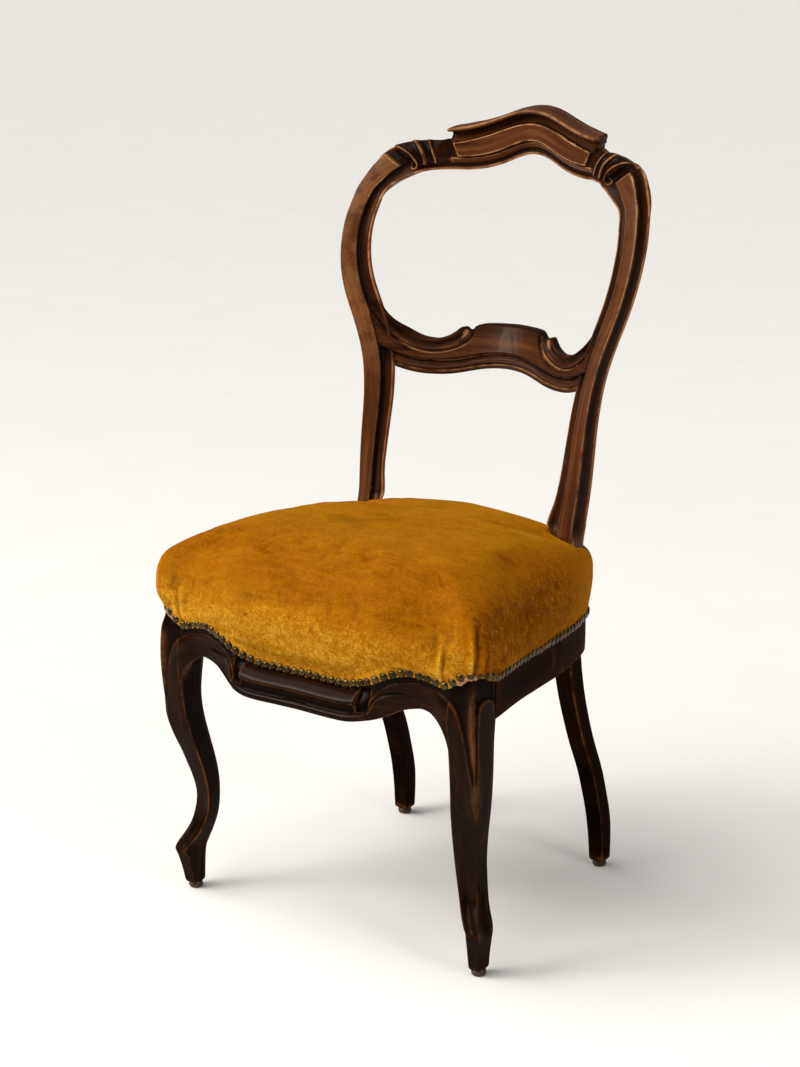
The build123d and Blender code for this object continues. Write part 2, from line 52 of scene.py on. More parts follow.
def spline(xs, ys):
    xs = np.asarray(xs, float)
    ys = np.asarray(ys, float)
    n = len(xs)
    h = np.diff(xs)
    a = np.zeros((n, n))
    r = np.zeros(n)
    a[0, 0] = a[-1, -1] = 1.0
    for i in range(1, n - 1):
        a[i, i - 1], a[i, i], a[i, i + 1] = h[i - 1], 2 * (h[i - 1] + h[i]), h[i]
        r[i] = 6 * ((ys[i + 1] - ys[i]) / h[i] - (ys[i] - ys[i - 1]) / h[i - 1])
    m = np.linalg.solve(a, r)

    def f(x):
        x = np.clip(np.asarray(x, float), xs[0], xs[-1])
        i = np.clip(np.searchsorted(xs, x) - 1, 0, n - 2)
        t = x - xs[i]
        b = (ys[i + 1] - ys[i]) / h[i] - h[i] * (2 * m[i] + m[i + 1]) / 6
        return ys[i] + b * t + m[i] * t * t / 2 + (m[i + 1] - m[i]) * t ** 3 / (6 * h[i])

    return f


def lin(xs, ys):
    return lambda x: np.interp(x, xs, ys)


def pchip(xs, ys):
    xs = np.asarray(xs, float)
    ys = np.asarray(ys, float)
    h = np.diff(xs)
    d = np.diff(ys) / h
    m = np.zeros_like(ys)
    for i in range(1, len(xs) - 1):
        if d[i - 1] * d[i] > 0:
            w1, w2 = 2 * h[i] + h[i - 1], h[i] + 2 * h[i - 1]
            m[i] = (w1 + w2) / (w1 / d[i - 1] + w2 / d[i])
    m[0], m[-1] = d[0], d[-1]

    def f(x):
        x = np.clip(np.asarray(x, float), xs[0], xs[-1])
        i = np.clip(np.searchsorted(xs, x, side="right") - 1, 0, len(xs) - 2)
        t = (x - xs[i]) / h[i]
        t2, t3 = t * t, t * t * t
        return ((2 * t3 - 3 * t2 + 1) * ys[i] + (t3 - 2 * t2 + t) * h[i] * m[i]
                + (-2 * t3 + 3 * t2) * ys[i + 1] + (t3 - t2) * h[i] * m[i + 1])

    return f


def pdist(px, pz, line):
    """Distance of points to a polyline in a plane."""
    px, pz = np.asarray(px, float), np.asarray(pz, float)
    best = np.full(px.shape, 1e9)
    for (ax, az), (bx, bz) in zip(line[:-1], line[1:]):
        dx, dz = bx - ax, bz - az
        t = np.clip(((px - ax) * dx + (pz - az) * dz) / (dx * dx + dz * dz), 0, 1)
        best = np.minimum(best, np.hypot(px - ax - t * dx, pz - az - t * dz))
    return best


def smooth_line(pts, step=1.0):
    pts = np.asarray(pts, float)
    s = np.concatenate([[0], np.cumsum(np.hypot(*np.diff(pts, axis=0).T))])
    t = np.arange(0, s[-1] + step * 0.5, step)
    return np.stack([spline(s, pts[:, k])(t) for k in range(pts.shape[1])], -1)


def wob(p, scale, seed=0, octaves=3):
    """Smooth, repeatable wobble of a point set, about -1 to 1."""
    r = np.random.default_rng(100 + seed)
    out = np.zeros(p.shape[:-1])
    amp = 1.0
    for o in range(octaves):
        for _ in range(4):
            k = r.normal(size=3)
            k = k / np.linalg.norm(k) * (2 * math.pi / scale) * 2 ** o * r.uniform(0.7, 1.3)
            out += amp * 0.35 * np.sin(p @ k + r.uniform(0, 6.28))
        amp *= 0.5
    return out


# ------------------------------------------------------------------ meshes
def quads(n, m, close=False, base=0):
    i = np.arange(n - 1)[:, None]
    j = np.arange(m if close else m - 1)[None, :]
    a = base + i * m + j
    b = base + i * m + (j + 1) % m
    return np.stack([a, b, b + m, a + m], -1).reshape(-1, 4).tolist()


class Builder:
    def __init__(self):
        self.v, self.f, self.g, self.n = [], [], [], 0
        self.d, self.w, self.e, self.q = [], [], [], []

    def grid(self, p, g=None, close=False, cap0=False, cap1=False, dark=None, rub=None, quiet=None):
        n, m = p.shape[:2]
        self.d.append((np.zeros((n, m)) if dark is None else dark + np.zeros((n, m))).ravel())
        self.w.append((np.zeros((n, m)) if rub is None else rub + np.zeros((n, m))).ravel())
        self.q.append((np.zeros((n, m)) if quiet is None else quiet + np.zeros((n, m))).ravel())
        ends = np.zeros((n, m))
        ends[[0, -1]] = 1.0
        self.e.append(ends.ravel())
        self.f += quads(n, m, close, self.n)
        if cap0:
            self.f.append(list(range(self.n, self.n + m)))
        if cap1:
            self.f.append(list(range(self.n + (n - 1) * m, self.n + n * m)))
        self.v.append(p.reshape(-1, 3))
        self.g.append((p if g is None else g).reshape(-1, 3))
        self.n += n * m

    def raw(self, v, f, g=None):
        v = np.asarray(v, float)
        self.f += [[i + self.n for i in q] for q in f]
        self.v.append(v)
        self.g.append(v if g is None else np.asarray(g, float))
        for k in (self.d, self.w, self.e, self.q):
            k.append(np.zeros(len(v)))
        self.n += len(v)

    def make(self, name, mat, nodes=(), sharp=38, mirror=False, wear=True, extra=None, calm=0.0):
        v = np.concatenate(self.v).copy()
        g = np.concatenate(self.g).copy()
        if mirror:
            v[:, 0] *= -1
            g = g + np.array([37.0, 11.0, 5.0])
        v[:, 1] += Y_SHIFT
        me = bpy.data.meshes.new(name)
        me.from_pydata((v * 0.001).tolist(), [], self.f)
        a = me.attributes.new("grain", "FLOAT_VECTOR", "POINT")
        a.data.foreach_set("vector", (g * 0.001).astype(np.float32).ravel())
        masks = dict(extra or {})
        if wear:
            masks["dark"] = np.concatenate(self.d)
            masks["rub"] = np.concatenate(self.w)
        for key, val in masks.items():
            a = me.attributes.new(key, "FLOAT", "POINT")
            a.data.foreach_set("value", np.asarray(val, np.float32).ravel())
        bm = bmesh.new()
        bm.from_mesh(me)
        bmesh.ops.recalc_face_normals(bm, faces=bm.faces)
        bm.to_mesh(me)
        bm.free()
        me.update()
        if wear:
            wear_and_cavity_shade(me, np.concatenate(self.e), 1 - (1 - calm) * (1 - np.concatenate(self.q)))
        me.shade_smooth()
        if sharp:
            me.set_sharp_from_angle(angle=math.radians(sharp))
        o = bpy.data.objects.new(name, me)
        bpy.context.scene.collection.objects.link(o)
        me.materials.append(mat)
        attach(o, "root")
        if nodes:
            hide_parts(*nodes)
        return o


def wear_and_cavity_shade(me, ends, calm):
    """How far each vertex stands proud of, or lies below, its smoothed surroundings: wear on proud edges, painted shade
    (cav) in the hollows.
    """
    n = len(me.vertices)
    co = np.empty(n * 3, np.float32)
    me.vertices.foreach_get("co", co)
    co = co.reshape(-1, 3).astype(float) * 1000
    no = np.empty(n * 3, np.float32)
    me.vertex_normals.foreach_get("vector", no)
    no = no.reshape(-1, 3).astype(float)
    e = np.empty(len(me.edges) * 2, np.int32)
    me.edges.foreach_get("vertices", e)
    e = e.reshape(-1, 2)
    deg = np.bincount(e.ravel(), minlength=n)[:, None]

    def relax(p, k):
        for _ in range(k):
            s = np.zeros_like(p)
            for c in range(3):
                s[:, c] = (np.bincount(e[:, 0], p[e[:, 1], c], n) + np.bincount(e[:, 1], p[e[:, 0], c], n))
            p = 0.35 * p + 0.65 * s / deg
        return p

    p1 = relax(co, 5)
    p2 = relax(p1, 40)
    d1 = ((co - p1) * no).sum(1)
    d2 = ((co - p2) * no).sum(1)
    w = ss(0.06, 0.26, d1) * (1 - ends) * (1 - calm)
    # Painted shade: cav darkens hollows and recesses; the end rows keep a dark joint line.
    c = np.clip(ss(0.04, 0.22, -d1) * 0.55 + ss(0.12, 1.1, -d2) * 0.8, 0, 1)
    c = np.maximum(c * (1 - ends), 0.75 * ends)
    for key, val in (("wear", w), ("cav", c)):
        a = me.attributes.new(key, "FLOAT", "POINT")
        a.data.foreach_set("value", val.astype(np.float32))


# ------------------------------------------------------------------ materials
def srgb(r, g, b):
    return tuple(((c / 255.0 + 0.055) / 1.055) ** 2.4 if c > 10 else c / 255.0 / 12.92 for c in (r, g, b)) + (1.0,)


class Mat:
    def __init__(self, name):
        self.m = bpy.data.materials.new(name)
        self.m.use_nodes = True
        self.t = self.m.node_tree
        self.t.nodes.clear()
        self.out = self.t.nodes.new("ShaderNodeOutputMaterial")
        self.b = self.t.nodes.new("ShaderNodeBsdfPrincipled")
        self.t.links.new(self.b.outputs[0], self.out.inputs[0])

    def n(self, kind, **kw):
        o = self.t.nodes.new("ShaderNode" + kind)
        for k, v in kw.items():
            setattr(o, k, v)
        return o

    def link(self, a, b):
        self.t.links.new(a, b)

    def attr(self, name, vector=False):
        o = self.n("Attribute", attribute_type="GEOMETRY", attribute_name=name)
        return o.outputs["Vector"] if vector else o.outputs["Fac"]

    def coords(self, grain):
        if grain:
            return self.attr("grain", True)
        return self.n("TexCoord").outputs["Object"]

    def mapped(self, src, scale, loc=(0, 0, 0), rot=(0, 0, 0)):
        o = self.n("Mapping")
        o.inputs["Scale"].default_value = scale
        o.inputs["Location"].default_value = loc
        o.inputs["Rotation"].default_value = rot
        self.link(src, o.inputs["Vector"])
        return o.outputs[0]

    def noise(self, src, scale, detail=3.0, rough=0.55, dist=0.0):
        o = self.n("TexNoise")
        o.inputs["Scale"].default_value = scale
        o.inputs["Detail"].default_value = detail
        o.inputs["Roughness"].default_value = rough
        o.inputs["Distortion"].default_value = dist
        self.link(src, o.inputs["Vector"])
        return o.outputs["Fac"]

    def ramp(self, src, stops, ease="LINEAR"):
        o = self.n("ValToRGB")
        o.color_ramp.interpolation = ease
        el = o.color_ramp.elements
        while len(el) < len(stops):
            el.new(0.5)
        for e, (p, c) in zip(el, stops):
            e.position = p
            e.color = c if len(c) == 4 else tuple(c) + (1.0,)
        self.link(src, o.inputs["Fac"])
        return o.outputs["Color"]

    def fmap(self, src, a, b, c=0.0, d=1.0, smooth=True):
        o = self.n("MapRange", interpolation_type="SMOOTHSTEP" if smooth else "LINEAR")
        for i, v in enumerate((a, b, c, d)):
            o.inputs[1 + i].default_value = v
        self.link(src, o.inputs[0])
        return o.outputs[0]

    def mul(self, a, b, op="MULTIPLY"):
        o = self.n("Math", operation=op, use_clamp=op in ("ADD",) and False)
        for i, v in enumerate((a, b)):
            if isinstance(v, (int, float)):
                o.inputs[i].default_value = v
            else:
                self.link(v, o.inputs[i])
        return o.outputs[0]

    def mix(self, fac, a, b, mode="MIX"):
        o = self.n("Mix", data_type="RGBA", blend_type=mode, clamp_factor=True)
        for s, v in ((o.inputs[0], fac), (o.inputs[6], a), (o.inputs[7], b)):
            if isinstance(v, (int, float, tuple)):
                s.default_value = v
            else:
                self.link(v, s)
        return o.outputs[2]

    def bump(self, height, strength, dist, normal=None):
        o = self.n("Bump")
        o.inputs["Strength"].default_value = strength
        o.inputs["Distance"].default_value = dist
        self.link(height, o.inputs["Height"])
        if normal is not None:
            self.link(normal, o.inputs["Normal"])
        return o.outputs[0]

    def put(self, name, v):
        s = self.b.inputs[name]
        if isinstance(v, (int, float, tuple)):
            s.default_value = v
        else:
            self.link(v, s)


def wood(name, deep, mid, light, worn_c, black=(0.007, 0.003, 0.002, 1), rough=(0.24, 0.46), coat=0.35,
         wear_gain=1.0, cav_gain=1.0, grain=True, along=(6, 120, 120), pore=0.45, rot=(0, 0, 0), spec=0.4, tint=(1, 1, 1, 1), coat_r=0.12):
    k = Mat(name)
    src = k.coords(grain)
    pos = k.n("TexCoord").outputs["Object"]
    base = k.mapped(src, along, rot=rot)
    streak = k.noise(base, 1.0, 5.0, 0.62, 0.7)
    col = k.ramp(streak, [(0.28, deep), (0.5, mid), (0.74, light)])
    band = k.noise(k.mapped(src, (2.5, 26, 26), rot=rot), 1.0, 2.0, 0.5, 1.2)
    col = k.mix(k.fmap(band, 0.42, 0.66, 0, 0.45), col, deep)
    pores = k.noise(k.mapped(src, (90, 1500, 1500), rot=rot), 1.0, 2.0, 0.5)
    pm = k.fmap(pores, 0.56, 0.68)
    col = k.mix(k.mul(pm, pore), col, tuple(c * 0.35 for c in deep[:3]) + (1.0,))
    tone = k.noise(pos, 11.0, 3.0, 0.5)
    col = k.mix(k.fmap(tone, 0.36, 0.64, 0.0, 0.5), col, tuple(c * 0.62 for c in mid[:3]) + (1.0,))
    patch = k.noise(pos, 55.0, 4.0, 0.6)
    if grain:
        # Painted shade: the hollows (cav) and the painted dark mask are mixed towards near-black, and the specular and
        # coat are lowered there.
        cav = k.mul(k.mul(k.attr("cav"), 0.85 * cav_gain), k.attr("dark"), "MAXIMUM")
        soft = k.fmap(k.noise(pos, 30.0, 3.0, 0.5), 0.3, 0.7, 0.90, 1.0, False)
        col = k.mix(k.mul(cav, soft), col, black)
        w = k.mul(k.attr("wear"), k.attr("rub"), "MAXIMUM")
        wm = k.mul(w, k.fmap(patch, 0.34, 0.58, 0.12, 1.0))
        col = k.mix(k.mul(wm, wear_gain), col, worn_c)
    k.put("Base Color", col)
    r = k.fmap(k.mul(patch, k.mul(pm, 0.12), "ADD"), 0.3, 0.75, rough[0], rough[1], False)
    k.put("Roughness", r)
    scratch = k.noise(k.mapped(src, (14, 420, 420), rot=rot), 1.0, 3.0, 0.6)
    h = k.mul(k.mul(pm, -0.7), k.mul(scratch, 0.5), "ADD")
    b1 = k.bump(h, 0.22, 0.00035)
    b2 = k.bump(patch, 0.1, 0.0009, b1)
    k.put("Normal", b2)
    if grain:
        k.put("Specular IOR Level", k.fmap(cav, 0.15, 0.95, spec, spec * 0.25, False))
        k.put("Coat Weight", k.fmap(cav, 0.15, 0.95, coat, coat * 0.5, False))
    else:
        k.put("Specular IOR Level", spec)
        k.put("Coat Weight", coat)
    k.put("Specular Tint", tint)
    k.put("Coat Roughness", coat_r)
    return k.m


WOOD_BACK = wood("polished_wood_back", (0.030, 0.0070, 0.0018, 1), (0.108, 0.0300, 0.0080, 1), (0.215, 0.074, 0.0215, 1),
                 (0.54, 0.250, 0.095, 1), black=(0.0045, 0.0016, 0.0007, 1), cav_gain=1.0, wear_gain=0.85, coat=0.11, spec=0.06,
                 tint=(1.0, 0.74, 0.54, 1), pore=0.55)
CARVED = wood("polished_wood_carved", (0.0050, 0.0016, 0.0006, 1), (0.0135, 0.0044, 0.0014, 1), (0.034, 0.0110, 0.0032, 1),
              (0.30, 0.105, 0.026, 1), black=(0.0020, 0.0009, 0.0005, 1), wear_gain=0.6, rough=(0.2, 0.4), coat=0.11, spec=0.0, coat_r=0.2,
              tint=(1.0, 0.66, 0.42, 1))
WOOD_BASE = wood("polished_wood_base", (0.0045, 0.0014, 0.0005, 1), (0.0115, 0.0037, 0.0012, 1), (0.026, 0.0084, 0.0025, 1),
                 (0.24, 0.085, 0.022, 1), black=(0.0020, 0.0009, 0.0005, 1), wear_gain=0.72, rough=(0.26, 0.46), coat=0.032, spec=0.0, coat_r=0.18,
                 tint=(1.0, 0.62, 0.38, 1))
BEECH = wood("bare_beech", (0.20, 0.105, 0.046, 1), (0.33, 0.19, 0.09, 1), (0.43, 0.27, 0.14, 1), (0.5, 0.3, 0.15, 1),
             rough=(0.55, 0.75), coat=0.0, grain=False, along=(120, 6, 120))


def plain_metal(name, a, b, rough, metallic=1.0, scale=220.0):
    k = Mat(name)
    pos = k.n("TexCoord").outputs["Object"]
    n1 = k.noise(pos, scale, 4.0, 0.6)
    k.put("Base Color", k.ramp(n1, [(0.35, a), (0.68, b)]))
    k.put("Roughness", k.fmap(n1, 0.3, 0.7, rough[0], rough[1], False))
    k.put("Metallic", metallic)
    k.put("Normal", k.bump(n1, 0.15, 0.0003))
    return k.m


STEEL = plain_metal("steel", (0.22, 0.21, 0.20, 1), (0.42, 0.41, 0.39, 1), (0.3, 0.55))
TACK = plain_metal("blued_tack", (0.02, 0.022, 0.03, 1), (0.07, 0.07, 0.085, 1), (0.35, 0.6))
GLIDE = plain_metal("glide", (0.035, 0.022, 0.014, 1), (0.10, 0.066, 0.04, 1), (0.35, 0.6), 0.7, 160.0)


def brass():
    k = Mat("brass_nail")
    pos = k.n("TexCoord").outputs["Object"]
    tone = k.attr("tone")
    n1 = k.noise(pos, 420.0, 4.0, 0.65)
    n2 = k.noise(pos, 90.0, 2.0, 0.5)
    col = k.ramp(n1, [(0.3, (0.030, 0.018, 0.005, 1)), (0.52, (0.082, 0.054, 0.015, 1)), (0.75, (0.21, 0.148, 0.045, 1))])
    col = k.mix(k.fmap(tone, 0.1, 0.9, 0.0, 0.75), col, (0.026, 0.016, 0.006, 1))
    rim = k.attr("rim")
    col = k.mix(k.mul(rim, 0.8), col, (0.022, 0.013, 0.007, 1))
    k.put("Base Color", col)
    k.put("Metallic", 0.92)
    k.put("Roughness", k.fmap(k.mul(n1, n2, "ADD"), 0.7, 1.3, 0.17, 0.4, False))
    k.put("Normal", k.bump(n1, 0.2, 0.0003))
    return k.m


BRASS = brass()


def velvet():
    k = Mat("velvet")
    pos = k.n("TexCoord").outputs["Object"]
    nap_and_painted_light = k.attr("nap_and_painted_light")
    big = k.noise(k.mapped(pos, (9, 9, 9)), 1.0, 3.0, 0.55, 0.8)
    strokes = k.noise(k.mapped(pos, (22, 60, 95), rot=(0.2, 0.1, 0.5)), 1.0, 4.0, 0.62, 1.0)
    crush = k.noise(k.mapped(pos, (120, 150, 105), rot=(0.1, 0.3, 0.2)), 1.0, 3.0, 0.6, 1.4)
    fine = k.noise(pos, 420.0, 3.0, 0.7)
    pile = k.noise(pos, 1700.0, 2.0, 0.6)
    v = k.mul(k.mul(big, 0.28), k.mul(strokes, 0.24), "ADD")
    rough_nap = k.mul(k.fmap(nap_and_painted_light, 0.0, 0.5, 0.22, 0.64, False), k.fmap(nap_and_painted_light, -0.3, -0.04, 0.55, 0.22, False), "MAXIMUM")
    v = k.mul(v, k.mul(k.mul(crush, 0.5, "SUBTRACT"), rough_nap), "ADD")
    v = k.mul(v, k.mul(k.mul(fine, 0.5, "SUBTRACT"), k.mul(rough_nap, 1.1)), "ADD")
    v = k.mul(v, 0.23, "ADD")
    # Painted light and shade carried by the nap attribute: lighter lower front and top, darker sides.
    v = k.mul(v, k.mul(nap_and_painted_light, 0.36), "ADD")
    col = k.ramp(v, [(0.34, (0.135, 0.036, 0.0012, 1)), (0.47, (0.275, 0.085, 0.0014, 1)), (0.60, (0.365, 0.132, 0.0030, 1)),
                     (0.72, (0.475, 0.212, 0.0110, 1)), (0.9, (0.61, 0.335, 0.036, 1))])
    col = k.mix(k.fmap(pile, 0.35, 0.7, 0.0, 0.28), col, (0.11, 0.030, 0.001, 1), "MIX")
    # Painted shade in the creases of the cover.
    cav = k.attr("cav")
    col = k.mix(k.mul(cav, 0.35), col, (0.075, 0.019, 0.0008, 1))
    raw = k.attr("raw")
    col = k.mix(raw, col, k.ramp(k.noise(pos, 420.0, 4.0, 0.6), [(0.3, srgb(120, 84, 62)), (0.55, srgb(158, 118, 90)), (0.8, srgb(184, 146, 118))]))
    k.put("Base Color", col)
    k.put("Roughness", k.fmap(v, 0.3, 0.9, 0.95, 0.78, False))
    k.put("Specular IOR Level", 0.015)
    k.put("Sheen Weight", 0.3)
    k.put("Sheen Roughness", 0.38)
    k.put("Sheen Tint", (0.82, 0.42, 0.015, 1))
    b1 = k.bump(pile, 0.35, 0.0006)
    b2 = k.bump(crush, 0.20, 0.0012, b1)
    k.put("Normal", b2)
    return k.m


VELVET = velvet()


def woven(name, a, b, c, pitch=(1.5, 1.5), rough=0.9):
    """Plain weave from two crossing waves, in object coordinates."""
    k = Mat(name)
    src = k.coords(True)
    sx = k.n("TexWave", wave_type="BANDS", bands_direction="X", wave_profile="SIN")
    sy = k.n("TexWave", wave_type="BANDS", bands_direction="Y", wave_profile="SIN")
    for o, p in ((sx, pitch[0]), (sy, pitch[1])):
        o.inputs["Scale"].default_value = 1000.0 / p * 2 * math.pi / 20.0
        o.inputs["Distortion"].default_value = 1.2
        o.inputs["Detail"].default_value = 2.0
        o.inputs["Detail Scale"].default_value = 2.0
        k.link(src, o.inputs["Vector"])
    w = k.mul(k.mul(sx.outputs["Fac"], sy.outputs["Fac"], "MULTIPLY"), 1.0)
    n1 = k.noise(src, 70.0, 4.0, 0.6)
    col = k.ramp(n1, [(0.3, a), (0.55, b), (0.8, c)])
    col = k.mix(k.fmap(w, 0.05, 0.5, 0.75, 0.0), col, tuple(x * 0.3 for x in a[:3]) + (1.0,))
    k.put("Base Color", col)
    k.put("Roughness", k.fmap(n1, 0.3, 0.7, rough - 0.06, rough + 0.04, False))
    k.put("Normal", k.bump(w, 0.5, 0.0006))
    k.put("Sheen Weight", 0.2)
    return k.m


JUTE = woven("jute_webbing", (0.24, 0.15, 0.075, 1), (0.36, 0.245, 0.13, 1), (0.45, 0.32, 0.19, 1), (2.2, 2.2))
HESSIAN = woven("hessian", (0.20, 0.125, 0.062, 1), (0.31, 0.205, 0.108, 1), (0.4, 0.28, 0.16, 1), (1.4, 1.4))


def fibre(name, a, b, c, scale=500.0):
    k = Mat(name)
    pos = k.n("TexCoord").outputs["Object"]
    n1 = k.noise(k.mapped(pos, (1, 0.35, 0.6), rot=(0.5, 0.9, 0.3)), scale, 5.0, 0.7, 2.5)
    n2 = k.noise(pos, 40.0, 3.0, 0.5)
    col = k.ramp(n1, [(0.32, a), (0.5, b), (0.68, c)])
    col = k.mix(k.fmap(n2, 0.4, 0.65, 0.0, 0.5), col, a)
    k.put("Base Color", col)
    k.put("Roughness", k.fmap(n1, 0.3, 0.7, 0.8, 0.98, False))
    k.put("Normal", k.bump(n1, 0.7, 0.0012))
    return k.m


HAIR = fibre("horsehair", (0.012, 0.008, 0.006, 1), (0.04, 0.026, 0.018, 1), (0.1, 0.068, 0.046, 1))
COTTON = fibre("cotton", (0.55, 0.5, 0.42, 1), (0.7, 0.65, 0.57, 1), (0.8, 0.76, 0.69, 1), 300.0)


# ------------------------------------------------------------------ the back's shared surface
BACK = (163.619, 30.22, -6.599, 0.378, -82.13, -9.807, 8.383, 18.81)


def back_y(x, z):
    t = (np.asarray(z, float) - 650.0) / 100.0
    q = (np.asarray(x, float) / 150.0) ** 2
    c = BACK
    return (c[0] + c[1] * t + c[2] * t * t + c[3] * t ** 3
            + c[4] * q + c[5] * q * t + c[6] * q * t * t + c[7] * q * q)


leg_y = spline([8, 48, 75, 99, 134, 167, 200, 229, 259, 300, 350, 400, 430],
               [151, 149.5, 145, 138, 126, 110.5, 97, 87, 79, 72.5, 71, 72, 74])
leg_x = lin([8, 133, 259, 300, 430], [148, 146, 145, 144.5, 144.5])
leg_w = lin([8, 60, 200, 259, 300, 430], [19.5, 22, 23, 24, 25, 26])
leg_d = lin([8, 60, 200, 259, 300, 430], [19.5, 22.5, 23.5, 25, 26, 24])
band_x = spline([451, 482, 512, 540, 560, 577, 603, 630, 660, 690, 718, 745, 772, 797],
                [145.2, 147.6, 148.8, 149.2, 149.7, 150.9, 154.2, 160.9, 171.6, 183.6, 191.4, 195.0, 194.6, 190.2])


def band_dir(z):
    dx = band_x(z + 1.5) - band_x(z - 1.5)
    dx = np.where(np.asarray(z) > 795.5, band_x(797.0) - band_x(794.0), dx)
    n = np.hypot(dx, 3.0)
    return 3.0 / n, -dx / n


# Stile moulding: across the face from the opening (u) and into the wood (v).
STILE = np.array([
    (-22.4, 6.4), (-22.6, 5.2), (-22.4, 4.3), (-21.9, 3.65), (-21.2, 3.4), (-20.5, 3.55), (-19.9, 4.2), (-19.0, 5.2),
    (-17.8, 6.2), (-16.3, 7.0), (-14.6, 7.45), (-12.9, 7.4), (-11.5, 7.0), (-10.5, 6.4), (-10.05, 5.6), (-9.75, 4.2),
    (-9.4, 2.4), (-9.15, 1.1), (-8.8, 0.42), (-8.2, 0.08), (-7.3, 0.0), (-5.2, -0.06), (-2.6, -0.12), (0, -0.14),
    (2.6, -0.12), (5.2, -0.06), (7.3, 0.0), (8.2, 0.08), (8.8, 0.42), (9.15, 1.2), (9.5, 2.8), (9.9, 4.8), (10.25, 6.4),
    (10.6, 7.6), (11.0, 8.8), (11.4, 10.1), (11.8, 11.6), (12.3, 13.2), (12.9, 14.7), (13.6, 15.8), (14.3, 16.3),
    (14.9, 16.8), (15.3, 17.8), (15.2, 19.3), (14.7, 21.0), (13.8, 22.8), (12.6, 24.1), (10.8, 24.6), (6.6, 24.8),
    (0.0, 24.9), (-5.0, 24.8), (-8.0, 24.5), (-10.2, 23.6), (-12.2, 21.6), (-14.6, 18.4), (-17.2, 14.6),
    (-19.6, 11.2), (-21.6, 8.6)])
_front = STILE[:43]
_so = np.argsort(_front[1:43, 0])
stile_v = pchip(_front[1:43, 0][_so] + np.arange(42) * 1e-6, _front[1:43, 1][_so])


def densify(p, times=2):
    p = np.asarray(p, float)
    for _ in range(times - 1):
        q = np.empty((2 * len(p), p.shape[1]))
        q[0::2] = p
        a, b, c, d = np.roll(p, 1, 0), p, np.roll(p, -1, 0), np.roll(p, -2, 0)
        q[1::2] = (-a + 9 * b + 9 * c - d) / 16.0
        p = q
    return p


STILE_D = densify(STILE, 2)


def rounded_rect(w, d, r, n):
    """n points on a rounded rectangle, from the inner side, across the front and round the back."""
    h = w / 2
    cs = [(-h + r, r), (h - r, r), (h - r, d - r), (-h + r, d - r)]
    a0 = [math.pi, 1.5 * math.pi, 0.0, 0.5 * math.pi]
    pts = [(-h, 0.3 * d)]
    for (cx, cy), a in zip(cs, a0):
        for k in range(7):
            t = a + k / 6 * math.pi / 2
            pts.append((cx + r * math.cos(t), cy + r * math.sin(t)))
    pts = np.array(pts + [pts[0]])
    s = np.concatenate([[0], np.cumsum(np.hypot(*np.diff(pts, axis=0).T))])
    return pts, s


DARK_U = pchip([-23, -21.0, -20.0, -18.6, -16.5, -13.0, -10.6, -9.6, -8.9, -8.3, 8.3, 8.9, 9.7, 10.6, 11.4, 12.2, 13.0, 13.8, 14.4, 16],
               [0.1, 0.0, 0.15, 0.46, 0.58, 0.68, 0.97, 0.97, 0.45, 0.10, 0.10, 0.45, 0.97, 0.97, 0.92, 0.80, 0.66, 0.42, 0.1, 0.0])


def rub_u(u, top=1.0):
    """Worn lines on the stile's lip, on both arrises of its band and on its outer edge, with a little wear on the band."""
    line = (0.85 * np.exp(-((u + 21.4) / 0.9) ** 2) + 0.45 * np.exp(-((u + 8.7) / 0.45) ** 2)
            + 0.85 * np.exp(-((u - 8.7) / 0.5) ** 2) + 0.75 * np.exp(-((u - 14.9) / 0.5) ** 2))
    return line * (0.55 + 0.45 * top) + 0.05 * top * ss(8.4, 7.4, np.abs(u))


def dark_u(uv):
    """Painted shade in the hollows of the stile's section, with an even darkening round its back."""
    front = DARK_U(uv[:, 0])
    past = np.arange(len(uv)) > 2 * 43
    return np.where(past, np.where(uv[:, 1] > 20, 0.2, 0.4), front)


